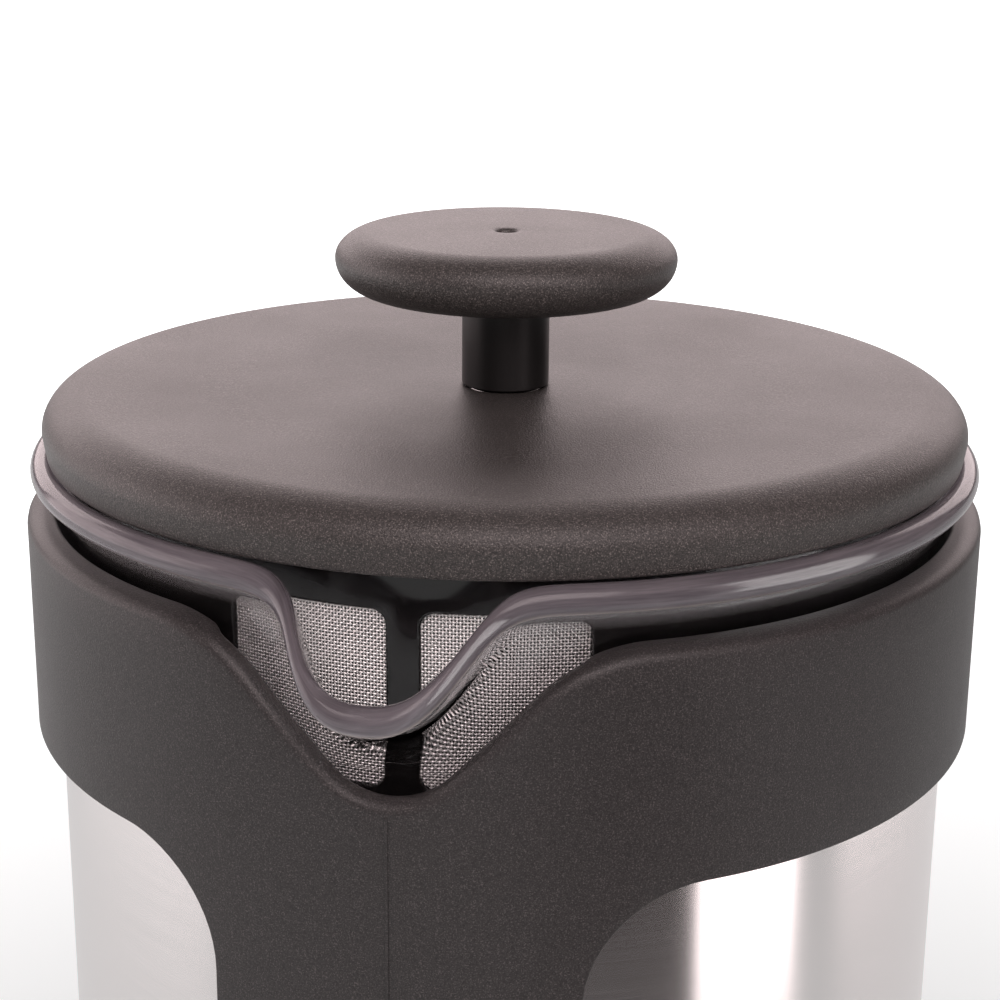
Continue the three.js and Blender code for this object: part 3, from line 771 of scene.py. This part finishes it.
def beaker():
    rows = glass_rows()
    angles = fine_angles()
    verts, faces = turned([row[:2] for row in rows], angles=angles)
    shape = (spout_drawn(verts), faces)
    obj = piece("beaker_glass", shape, glass, "beaker", ["glass_beaker"], 0, weld=False)
    # Puts milk, section and the painted highlight's share onto the vertices.
    for index, name in ((2, "milk"), (3, "section"), (4, "pale")):
        values = []
        for row in rows:
            values += [row[index]] * (1 if row[0] < ON_AXIS else len(angles))
        layer = obj.data.attributes.new(name, "FLOAT", "POINT")
        layer.data.foreach_set("value", values)
    obj.visible_shadow = False


beaker()

# ---- frame


def notch_line():
    """The collar's upper edge from the back, round past the notch, to the back."""
    half = NOTCH_DEPTH + (NOTCH_BOTTOM + NOTCH_TOP) * (math.sqrt(2) - 1)
    bottom = collar_top - NOTCH_DEPTH + NOTCH_BOTTOM
    back = math.pi * frame_outer
    line = [
        (-back, collar_top),
        *arc(-half, collar_top - NOTCH_TOP, NOTCH_TOP, NOTCH_TOP, 90, 45, 18),
        *arc(0, bottom, NOTCH_BOTTOM, NOTCH_BOTTOM, -135, -45, 22),
        *arc(half, collar_top - NOTCH_TOP, NOTCH_TOP, NOTCH_TOP, 135, 90, 18),
        (back, collar_top),
    ]
    return spaced(line, 1.2)


def eased(value, start, end):
    """0 up to start, 1 from end on, and smooth between."""
    t = min(1.0, max(0.0, (value - start) / (end - start)))
    return t * t * (3 - 2 * t)


def wrap_collar(u, v, w):
    """As wrap, with the wall drawn in to the glass above the sleeve, except behind the spout."""
    drawn = eased(v, collar_step, collar_step + COLLAR_BLEND)
    drawn *= eased(abs(u), SPOUT_RELIEF, SPOUT_RELIEF + RELIEF_BLEND)
    share = min(1.0, (frame_outer - w) / (FRAME_WALL - COLLAR_INNER_ROUND))
    return wrap(u, v, w - COLLAR_THICKER * drawn * max(0.0, share))


def side_window(side):
    """The outline of one side window, between the arms, the collar and the base ring."""
    back = math.pi * frame_outer
    near, far = ARM_WIDTH / 2, back - ARM_WIDTH / 2
    a, b = (near, far) if side > 0 else (-far, -near)
    corners = rectangle(a, frame_bottom + BASE_RING, b, collar_bottom, WINDOW_CORNER)
    return spaced(filleted(corners, 14), 1.5, closed=True)


def frame_wall():
    """Collar, arms and base ring as one bent plate with the notch and two windows."""
    back = math.pi * frame_outer
    wall_bottom = frame_bottom + BASE_ROUND
    steps = FRAME_SEGMENTS
    lower_line = [(-back + 2 * back * k / steps, wall_bottom) for k in range(steps + 1)]
    return slab(
        (lower_line, notch_line()),
        [side_window(1), side_window(-1)],
        frame_outer,
        frame_inner,
        wrap_collar,
        (3.0, 4.0),
        [(COLLAR_LIP, COLLAR_INNER_ROUND)] + [(WINDOW_EDGE, WINDOW_EDGE)] * 2,
        period=2 * back,
    )


def frame_base():
    """The floor's upper face, and the underside with the recess for the pad."""
    wall_bottom = frame_bottom + BASE_ROUND
    pad_edge = high("non_slip_pad").x + FREE_GAP
    upper = [(frame_inner, wall_bottom), (frame_inner, floor_top), (0, floor_top)]
    under = [
        *arc(frame_outer - BASE_ROUND, wall_bottom, BASE_ROUND, BASE_ROUND, 0, -90, 8),
        (pad_edge + 0.4, frame_bottom),
        (pad_edge, frame_bottom + 0.4),
        (pad_edge, floor_under),
        (0, floor_under),
    ]
    return joined(*[turned(rows, FRAME_SEGMENTS, closes=False) for rows in (upper, under)])


def parting_line():
    """The mould's fine seam down the middle of the front arm."""
    top = collar_top - NOTCH_DEPTH - 1.5
    section = [(-0.16, -0.1), (0.16, -0.1), (0.05, 0.035), (-0.05, 0.035)]
    path = [(0, -frame_outer, z) for z in (frame_bottom + BASE_ROUND + 0.5, top)]
    return swept(section, [path[0], tuple(np.mean(path, axis=0)), path[1]], (1, 0, 0))


def boss(z):
    """The block that one end of the handle meets, sunk into the rear arm."""
    face = low("handle").y - GAP
    w, h = BAR_HALF_WIDTH, BOSS_HALF_HEIGHT
    corners = rectangle(-w, z - h, w, z + h, BOSS_ROUND)
    outline = spaced(filleted(corners, 6), 2.0, closed=True)
    return slab(outline, [], face, frame_inner + 0.6, upright, (4, 4), [(0.8, 0.1)])


fixings = [(low(n).z + high(n).z) / 2 for n in ("handle_screw_upper", "handle_screw_lower")]


def frame_moulding():
    shape = joined(frame_wall(), frame_base(), parting_line(), *map(boss, fixings))
    piece("frame_moulding", shape, black, "frame_body", ["frame"], 45)


frame_moulding()

# ---- sleeve, pad, cushion, handle


def sleeve():
    lo, hi = span("steel_sleeve")
    section = rectangle(hi.x - SHEET, lo.z, hi.x, hi.z, 0.12)
    shape = turned(filleted(section, 3), 240)
    piece("sleeve_sheet", shape, brushed, "frame_body", ["steel_sleeve"])


def pad():
    """The pad, with four round grooves in its underside."""
    edge, top = high("non_slip_pad").x, high("non_slip_pad").z
    rows = [(0, 0)]
    for r in (16, 22, 28, 34):
        rows += [(r - 1.2, 0), (r - 0.8, 0.5), (r + 0.8, 0.5), (r + 1.2, 0)]
    rows += [*arc(edge - 0.8, 0.8, 0.8, 0.8, -90, 0, 5), (edge, top), (0, top)]
    piece("pad_moulding", turned(rows, 120), rubber, "frame_body", ["non_slip_pad"])


def cushion():
    edge, top = high("beaker_cushion").x, high("beaker_cushion").z
    bottom, soft = floor_top + GAP, 0.6
    rows = [
        (0, bottom),
        *arc(edge - soft, bottom + soft, soft, soft, -90, 0, 4),
        *arc(edge - soft, top - soft, soft, soft, 0, 90, 4),
        (0, top),
    ]
    piece("cushion_disc", turned(rows, 96), rubber, "frame_body", ["beaker_cushion"])


sleeve()
pad()
cushion()


def catmull_rom(points, count):
    """A centripetal Catmull-Rom curve through points, as the CAD handle's route is."""
    p = [np.array(q, float) for q in points]
    p = [2 * p[0] - p[1], *p, 2 * p[-1] - p[-2]]
    out = []
    spans = len(points) - 1
    for k in range(count + 1):
        position = min(k / count * spans, spans - 1e-9)
        i = int(position)
        a, b, c, d = p[i : i + 4]
        t0 = 0.0
        t1 = t0 + np.linalg.norm(b - a) ** 0.5
        t2 = t1 + np.linalg.norm(c - b) ** 0.5
        t3 = t2 + np.linalg.norm(d - c) ** 0.5
        t = t1 + (position - i) * (t2 - t1)

        def mixed(q0, q1, start, end):
            return (end - t) / (end - start) * q0 + (t - start) / (end - start) * q1

        a1, a2, a3 = mixed(a, b, t0, t1), mixed(b, c, t1, t2), mixed(c, d, t2, t3)
        out.append(mixed(mixed(a1, a2, t0, t2), mixed(a2, a3, t1, t3), t1, t2))
    return out


def handle():
    """A rounded bar along the CAD handle's route, given as (y, share of the way down)."""
    start = low("handle").y
    grip = high("handle").y - BAR_HALF_THICK - BAR_BULGE
    top, bottom = fixings
    drop = top - bottom
    route = [
        (start, 0),
        (start + 10, 0),
        (grip - 8, 0.05),
        (grip, 0.22),
        (grip - 0.5, 0.5),
        (grip - 3, 0.75),
        (grip - 13, 0.96),
        (start + 10, 1),
        (start, 1),
    ]
    path = catmull_rom([(0, y, top - share * drop) for y, share in route], 150)
    w, t = BAR_HALF_WIDTH, BAR_HALF_THICK
    shape = swept(filleted(rectangle(-w, -t, w, t, BAR_ROUND), 8), path, (1, 0, 0))
    piece("handle_grip", shape, black, "frame_body", ["handle"])


def screw(node):
    """A domed screw along Y, with a round recess in its head and ridges for the thread."""
    lo, hi = span(node)
    z = (lo.z + hi.z) / 2
    head, shank, ridge = (hi.z - lo.z) / 2, 1.75, 0.25
    dome, under = 0.9, lo.y + 1.8
    rows = [(0, lo.y + 0.5), (0.9, lo.y + 0.5), (1.1, lo.y)]
    rows += [*arc(head - dome, lo.y + dome, dome, dome, -90, 0, 4), (head, under), (shank, under)]
    for y in np.arange(under + 1, hi.y - 1, 0.9):
        rows += [(shank - ridge, y), (shank, y + 0.45)]
    rows += [(shank - 0.6, hi.y), (0, hi.y)]
    verts, faces = turned(rows, 32)
    shape = ([(x, w, z - y) for x, y, w in verts], faces)
    piece(node + "_fine", shape, bright, "frame_body", [node])


handle()
screw("handle_screw_upper")
screw("handle_screw_lower")

# ---- lid


def lid_cover():
    """A slightly dished cover with a rounded edge turned down, and a hole for the bush."""
    lo, hi = span("lid_cover")
    edge, width, height = hi.x, 5.0, 3.75
    hole, wall, rise = LID_HOLE, 2.2, 0.6
    flat_r = edge - width
    middle = hi.z - rise
    under = middle - wall
    shares = (0.9, 0.8, 0.66, 0.5, 0.33)
    dish = [(flat_r * t, middle + rise * (1 - (1 - t) ** 2) ** 2) for t in shares]
    rows = [
        (hole, under),
        *arc(flat_r, under - 0.95, width - wall, 0.95, 90, 0, 8),
        (edge - wall, lo.z + 0.2),
        (edge - wall + 0.2, lo.z),
        *arc(edge - 0.35 - 0.4, lo.z + 0.4, 0.4, 0.4, -90, -8, 5),
        *arc(flat_r, hi.z - height, width, height, 0, 90, 18),
        *dish,
        (hole + 1.0, middle),
        (hole + 0.3, middle),
        (hole + 0.2, middle - 0.02),
        (hole, middle - 0.2),
    ]
    piece("lid_moulding", turned(rows, 240), lid_black, "lid", ["lid_cover"], 45)


lid_cover()


def strainer_outline(side, grow=0.0):
    """One strainer window, measured along the skirt's outer face."""
    near, far = BAR / 2 - grow, BAR / 2 + STRAINER_WIDTH + grow
    a, b = (near, far) if side > 0 else (-far, -near)
    z0, z1 = rim_z - STRAINER_BOTTOM - grow, rim_z - STRAINER_TOP + grow
    return rectangle(a, z0, b, z1, STRAINER_ROUND)


def wrap_skirt(u, v, w):
    """As wrap, with u along the skirt's outer face."""
    return wrap(u * frame_outer / skirt_outer, v, w)


def skirt_wall(bottom, top):
    back = math.pi * skirt_outer
    steps = SKIRT_SEGMENTS
    lower = [(-back + 2 * back * k / steps, bottom) for k in range(steps + 1)]
    upper = [(u, top) for u, _ in lower]
    windows = [spaced(filleted(strainer_outline(side), 8), 0.8, closed=True) for side in (1, -1)]
    rounds = [(0.3, 0.3), (0.35, 0.35), (0.35, 0.35)]
    return slab(
        (lower, upper), windows, skirt_outer, skirt_inner, wrap_skirt, (2.4, 3.0), rounds, 2 * back
    )


def skirt():
    """A ring with the two strainer windows, closed above by a disc with a boss."""
    lo, hi = span("strainer_skirt")
    edge, hole, boss_r, thick = 0.3, LID_HOLE, 6.7, 1.6
    bevel = [
        (skirt_outer, lo.z + edge),
        (skirt_outer - edge, lo.z),
        (skirt_inner + edge, lo.z),
        (skirt_inner, lo.z + edge),
    ]
    rim = turned(bevel, SKIRT_SEGMENTS, closes=False)
    disc = [
        (hole, rim_z),
        (skirt_inner + 0.2, rim_z),
        (skirt_inner + 0.2, rim_z + thick),
        (boss_r + 1, rim_z + thick),
        (boss_r, rim_z + thick + 1),
        (boss_r, hi.z),
        (hole, hi.z),
    ]
    shape = joined(skirt_wall(lo.z + edge, hi.z), rim, turned(disc, SKIRT_SEGMENTS))
    piece("skirt_moulding", shape, gloss, "lid", ["strainer_skirt"], 40)


skirt()


def woven_panel(side, pitch=0.34, wire=0.112, samples=2, sides=6):
    """Woven wire cloth in one strainer window: each wire goes over and under those it crosses."""
    corners = strainer_outline(side, 0.35)
    a, b = corners[0][0], corners[1][0]
    z0, z1 = corners[0][1], corners[2][1]
    middle = (skirt_outer + skirt_inner) / 2
    lift = wire * 0.95
    shapes = []

    def point(u, z, out):
        return wrap_skirt(u, z, middle + out)

    columns = np.arange(math.ceil(a / pitch), b / pitch)
    rows = np.arange(math.ceil(z0 / pitch), z1 / pitch)
    zs = np.arange(z0, z1 + 1e-6, pitch / samples)
    us = np.arange(a, b + 1e-6, pitch / samples)
    for i in columns:
        path = [point(i * pitch, z, lift * math.cos(math.pi * (z / pitch + i))) for z in zs]
        shapes.append(tube(path, wire, sides))
    for j in rows:
        path = [point(u, j * pitch, -lift * math.cos(math.pi * (u / pitch + j))) for u in us]
        shapes.append(tube(path, wire, sides))
    return joined(*shapes)


def strainer_mesh(side, name):
    node = "strainer_mesh_" + name
    shape = woven_panel(side)
    piece("wire_cloth_" + name, shape, wire_steel, "lid", [node], 0, weld=False)


def guide_bush():
    lo, hi = span("rod_guide_bush")
    bore, flange, body = 2.49, 7.0, 4.2
    corners = [
        (bore, lo.z, 0.3),
        (flange, lo.z, 0.4),
        (flange, lo.z + 1.6, 0.4),
        (body, lo.z + 1.6),
        (body, hi.z, 0.3),
        (bore, hi.z, 0.3),
    ]
    shape = turned(filleted(corners, 4), 64)
    piece("guide_bush_fine", shape, bright, "rod_guide", ["rod_guide_bush"])


strainer_mesh(-1, "left")
strainer_mesh(1, "right")
guide_bush()

# ---- plunger


def knob():
    """A flat round knob with a dimple on top and a socket below for the neck."""
    lo, hi = span("knob")
    radius, edge = hi.x, 4.1
    widest = hi.z - 2.86
    socket, dimple = NECK_BORE, 1.7
    roof = high("knob_insert").z + GAP
    rows = [
        (0, roof),
        (socket, roof),
        (socket, lo.z + 0.2),
        (socket + 0.2, lo.z),
        *arc(radius - edge, widest, edge, widest - lo.z, -90, 0, 20),
        *arc(radius - edge, widest, edge, hi.z - widest, 0, 90, 20)[1:],
        (9, hi.z),
        (dimple + 0.55, hi.z),
        *arc(dimple, hi.z - 0.35, 0.55, 0.35, 90, 180, 4)[1:],
        (0.9, hi.z - 0.75),
        (0.5, hi.z - 0.8),
        (0, hi.z - 0.8),
    ]
    shape = turned(rows, 160)
    piece("knob_moulding", shape, lid_black, "knob_body", ["knob"], 50)


def knob_neck():
    lo, hi = span("knob_neck")
    rows = [
        (NECK_BORE, lo.z),
        (hi.x - 0.15, lo.z),
        (hi.x, lo.z + 0.15),
        (hi.x, lo.z + 0.6),
        (hi.x, hi.z - 0.1),
        (hi.x - 0.1, hi.z),
        (NECK_BORE, hi.z),
    ]
    piece("neck_moulding", turned(rows, 96), neck_black, "knob_body", ["knob_neck"])


def knob_insert():
    """A brass tube whose outside is ridged, so that it holds in the plastic."""
    lo, hi = span("knob_insert")
    root, pitch = hi.x - 0.3, 1.1
    rows = [(BORE, lo.z), (root, lo.z)]
    for z in np.arange(lo.z + pitch / 2, hi.z - pitch / 2, pitch):
        rows += [(hi.x, z), (root, z + pitch / 2)]
    rows += [(root, hi.z), (BORE, hi.z)]
    piece("knob_insert_fine", turned(rows, 48), brass, "knob_body", ["knob_insert"])


def plunger_rod():
    """A plain rod with ridges at each end for the thread."""
    pitch, root, tip = 0.8, rod_radius - 0.25, rod_radius - 0.4
    rows = [(0, rod_lo.z), (tip, rod_lo.z), (rod_radius, rod_lo.z + 0.4)]
    for z in np.arange(rod_lo.z + pitch, rod_lo.z + 5.6, pitch):
        rows += [(root, z), (rod_radius, z + pitch / 2)]
    rows += [(rod_radius, rod_lo.z + up) for up in (40, 100, 150)]
    for z in np.arange(rod_hi.z - 9.5, rod_hi.z - 1, pitch):
        rows += [(rod_radius, z), (root, z + pitch / 2)]
    rows += [(tip, rod_hi.z), (0, rod_hi.z)]
    piece("rod_fine", turned(rows, 64), bright, "plunger", ["plunger_rod"])


def rod_collar():
    lo, hi = span("rod_collar")
    bore = rod_radius + GAP
    corners = [(bore, lo.z), (hi.x, lo.z, 0.3), (hi.x, hi.z, 1.0), (bore, hi.z)]
    shape = turned(filleted(corners, 5), 64)
    piece("rod_collar_fine", shape, bright, "plunger", ["rod_collar"])


knob()
knob_neck()
knob_insert()
plunger_rod()
rod_collar()

# ---- filter pack


def ring_of_holes(count, circle, radius):
    holes = []
    for k in range(count):
        a = TAU * k / count
        cx, cy = circle * math.sin(a), -circle * math.cos(a)
        holes.append(arc(cx, cy, radius, radius, 0, 360, 28)[:-1])
    return holes


def plate(outer_r, holes, bottom, top, edge):
    """A flat disc with a bore for the rod and other holes."""
    outline = arc(0, 0, outer_r, outer_r, 0, 360, 180)[:-1]
    centre = arc(0, 0, BORE, BORE, 0, 360, 36)[:-1]
    all_holes = [centre, *holes]
    rounds = [(edge, edge)] * (1 + len(all_holes))
    return slab(outline, all_holes, top, bottom, flat, (6, 6), rounds)


def cross_plate():
    lo, hi = span("cross_plate")
    shape = plate(hi.x, ring_of_holes(6, 26, 6.5), lo.z, hi.z, 0.2)
    piece("cross_plate_fine", shape, bright, "filter_pack", ["cross_plate"])


def spreader_plate():
    """A pierced plate with a turned-up lip."""
    lo, hi = span("spreader_plate")
    lip, thick = 0.7, 0.7
    pierced = plate(hi.x - lip / 2, ring_of_holes(6, 27, 4.2), lo.z, lo.z + thick, 0.15)
    corners = [
        (hi.x - lip, lo.z + 0.1, 0.2),
        (hi.x, lo.z + 0.1, 0.5),
        (hi.x, hi.z, 0.3),
        (hi.x - lip, hi.z, 0.3),
    ]
    shape = joined(pierced, turned(filleted(corners, 4), 180))
    piece("spreader_fine", shape, bright, "filter_pack", ["spreader_plate"])


def spring_coil():
    """A close-wound spring laid in a ring."""
    lo, hi = span("spring_coil")
    wire = 0.45
    section = (hi.z - lo.z) / 2 - wire
    middle = hi.x - section - wire
    level = (lo.z + hi.z) / 2
    turns, samples = 130, 12
    path = []
    for k in range(turns * samples):
        ring = TAU * k / (turns * samples)
        coil = ring * turns
        r = middle + section * math.cos(coil)
        path.append((r * math.sin(ring), -r * math.cos(ring), level + section * math.sin(coil)))
    shape = tube(path, wire, 6, closed=True)
    piece("coil_spring_fine", shape, wire_steel, "filter_pack", ["spring_coil"], 0)

def filter_screen():
    """A shallow tray of wire cloth with its edge turned up against the glass."""
    lo, hi = span("filter_screen")
    t, r, bend, flat_r = 0.4, hi.x, 1.2, 20
    rows = [
        (BORE, lo.z),
        (flat_r, lo.z),
        *arc(r - bend, lo.z + bend, bend, bend, -90, 0, 6),
        (r, hi.z - 0.2),
        *arc(r - t / 2, hi.z - t / 2, t / 2, t / 2, 0, 180, 6),
        *arc(r - bend, lo.z + bend, bend - t, bend - t, 0, -90, 6),
        (flat_r, lo.z + t),
        (BORE, lo.z + t),
    ]
    shape = turned(rows, 180)
    piece("filter_screen_fine", shape, woven, "filter_pack", ["filter_screen"])


def lock_nut():
    lo, hi = span("lock_nut")
    radius, corner = max(hi.x, hi.y), 0.4
    angles = [TAU * k / 6 for k in range(6)]
    hexagon = [(radius * math.sin(a), -radius * math.cos(a), corner) for a in angles]
    outer = spaced(filleted(hexagon, 4), 2, closed=True)
    bore = arc(0, 0, BORE, BORE, 0, 360, 32)[:-1]
    shape = slab(outer, [bore], hi.z, lo.z, flat, (2, 2), [(0.4, 0.4), (0.3, 0.3)])
    piece("lock_nut_fine", shape, bright, "filter_pack", ["lock_nut"])


cross_plate()
spreader_plate()
spring_coil()
filter_screen()
lock_nut()

# ---- camera

# Degrees and millimetres; the camera starts in front of the spout and is turned about the axis.
CAMERA_AZIMUTH = 11.8
CAMERA_PITCH = 17.30
CAMERA_ROLL = 0.473
CAMERA_DISTANCE = 233.77
CAMERA_SIDE = -0.48
CAMERA_ABOVE_RIM = 66.41
FILM_WIDTH = 36
FOCAL_LENGTH = 77.45


def add_camera():
    data = bpy.data.cameras.new("camera")
    data.sensor_width = FILM_WIDTH
    data.lens = FOCAL_LENGTH
    data.clip_start = 0.01
    camera = bpy.data.objects.new("camera", data)
    bpy.context.scene.collection.objects.link(camera)
    turn = Matrix.Rotation(math.radians(CAMERA_AZIMUTH), 4, "Z")
    place = turn @ Vector((CAMERA_SIDE, -CAMERA_DISTANCE, rim_z + CAMERA_ABOVE_RIM)) * MM
    tilt = Matrix.Rotation(math.radians(90 - CAMERA_PITCH), 4, "X")
    roll = Matrix.Rotation(math.radians(CAMERA_ROLL), 4, "Z")
    camera.matrix_world = Matrix.Translation(place) @ turn @ tilt @ roll
    bpy.context.scene.camera = camera


add_camera()

# ---- floor and light

WARM = (1.0, 0.85, 0.85)
COOLER = (1, 0.97, 0.96)
PAPER = (0.785, 0.91, 0.91)
WORLD_FILL = 0.2


def area_light(name, power, size, azimuth, elevation, distance, colour):
    """A softbox that faces the press. Azimuth 0 is behind the camera, and it grows to the right."""
    data = bpy.data.lights.new(name, "AREA")
    data.shape = "RECTANGLE"
    data.size, data.size_y = size
    data.energy = power
    data.color = colour
    light = bpy.data.objects.new(name, data)
    bpy.context.scene.collection.objects.link(light)
    a, e = math.radians(azimuth + CAMERA_AZIMUTH), math.radians(elevation)
    target = Vector((0, 0, rim_z * MM))
    away = Vector((math.sin(a) * math.cos(e), -math.cos(a) * math.cos(e), math.sin(e)))
    light.location = target + away * distance
    light.rotation_euler = away.to_track_quat("Z", "Y").to_euler()
    light.visible_camera = False
    return light


def staged(name, verts, faces, look):
    """Adds a studio object, which is no piece of the press."""
    mesh = bpy.data.meshes.new(name)
    mesh.from_pydata(verts, [], faces)
    mesh.materials.append(look.material)
    obj = bpy.data.objects.new(name, mesh)
    bpy.context.scene.collection.objects.link(obj)
    return obj


def floor():
    """Pale paper, lit by the boxes near the press and fading into a white backdrop further out."""
    rings = [(r, 0) for r in (0, 0.2, 0.5, 1, 3, 8)]
    look = Look("floor_paper", Roughness=0.9)
    where = look.coordinates()
    brighter = tuple(1.01 * c for c in PAPER)
    look.set("Base Color", look.tinted(look.noise(where, 8, 2.0), PAPER, brighter))
    out = look.node("VectorMath", operation="LENGTH")
    look.link(where, out.inputs[0])
    fade = look.ranged(out.outputs["Value"], 0.16, 0.7, 0.1, 1)
    seen = look.node("LightPath")
    look.shader.inputs["Emission Color"].default_value = (1, 1, 1, 1)
    look.set("Emission Strength", look.maths("MULTIPLY", fade, seen.outputs["Is Camera Ray"]))
    staged("floor", *turned(rings, 64), look)


def studio_world():
    """White where the camera sees past the floor, and a weak warm fill for everything else."""
    world = bpy.data.worlds.new("studio")
    bpy.context.scene.world = world
    world.use_nodes = True
    tree = world.node_tree
    fill = tree.nodes["Background"]
    fill.inputs[0].default_value = (*WARM, 1)
    fill.inputs[1].default_value = WORLD_FILL
    white = tree.nodes.new("ShaderNodeBackground")
    white.inputs[0].default_value = (1, 1, 1, 1)
    seen = tree.nodes.new("ShaderNodeLightPath")
    mix = tree.nodes.new("ShaderNodeMixShader")
    tree.links.new(seen.outputs["Is Camera Ray"], mix.inputs[0])
    tree.links.new(fill.outputs[0], mix.inputs[1])
    tree.links.new(white.outputs[0], mix.inputs[2])
    tree.links.new(mix.outputs[0], tree.nodes["World Output"].inputs[0])


def lit_only(light, pieces):
    """Keeps a light to the pieces named, as a small snooted lamp would."""
    chosen = bpy.data.collections.new(light.name + "_receivers")
    for name in pieces:
        chosen.objects.link(bpy.data.objects[name])
    light.light_linking.receiver_collection = chosen


def light_all():
    area_light("back_box", 38, (4.0, 1.5), 180, 24, 2.0, WARM)
    area_light("left_box", 9.0, (1.4, 1.2), -100, 5, 1.2, WARM)
    area_light("front_box", 9, (1.0, 1.0), 0, 44, 1.3, WARM)
    sheen = area_light("right_strip", 0.62, (0.22, 0.42), 55, 4, 0.38, WARM)
    lit_only(sheen, ["sleeve_sheet"])
    right_fill = area_light("right_fill", 7.0, (1.0, 1.0), 36, 20, 1.3, WARM)
    lit_only(right_fill, ["frame_moulding", "lid_moulding", "knob_moulding", "neck_moulding"])
    for name, power, azimuth in (("steel_left", 4.5, -95), ("steel_right", 22.0, 112)):
        lit_only(area_light(name, power, (1.2, 1.0), azimuth, 5, 1.2, WARM), ["sleeve_sheet"])
    glint = area_light("glass_strip", 1.4, (0.24, 0.42), 68, 4, 0.38, COOLER)
    glint.visible_diffuse = False
    lit_only(glint, ["beaker_glass", "skirt_moulding"])
    cloth_fill = area_light("cloth_fill", 3.2, (0.8, 0.8), -8, 30, 1.0, WARM)
    lit_only(cloth_fill, ["wire_cloth_left", "wire_cloth_right"])


def dark_flag(azimuth, half_angle, distance, height):
    """A dark board beside the camera that shows only in glossy reflections."""
    centre, half = math.radians(azimuth + CAMERA_AZIMUTH), math.radians(half_angle)
    corners = [(a, z) for a in (centre - half, centre + half) for z in (0.002, height)]
    points = [(distance * math.sin(a), -distance * math.cos(a), z) for a, z in corners]
    look = Look("flag_cloth", Roughness=0.9)
    tone = look.noise(look.coordinates(), 12, 2.0)
    look.set("Base Color", look.tinted(tone, (0.03, 0.03, 0.03), (0.06, 0.055, 0.055)))
    obj = staged("dark_flag", points, [(0, 1, 3, 2)], look)
    obj.visible_camera = False
    obj.visible_diffuse = False
    obj.visible_transmission = False
    obj.visible_shadow = False


floor()
studio_world()
light_all()
dark_flag(25, 18, 0.27, 0.3)
bpy.context.scene.view_settings.view_transform = "Standard"
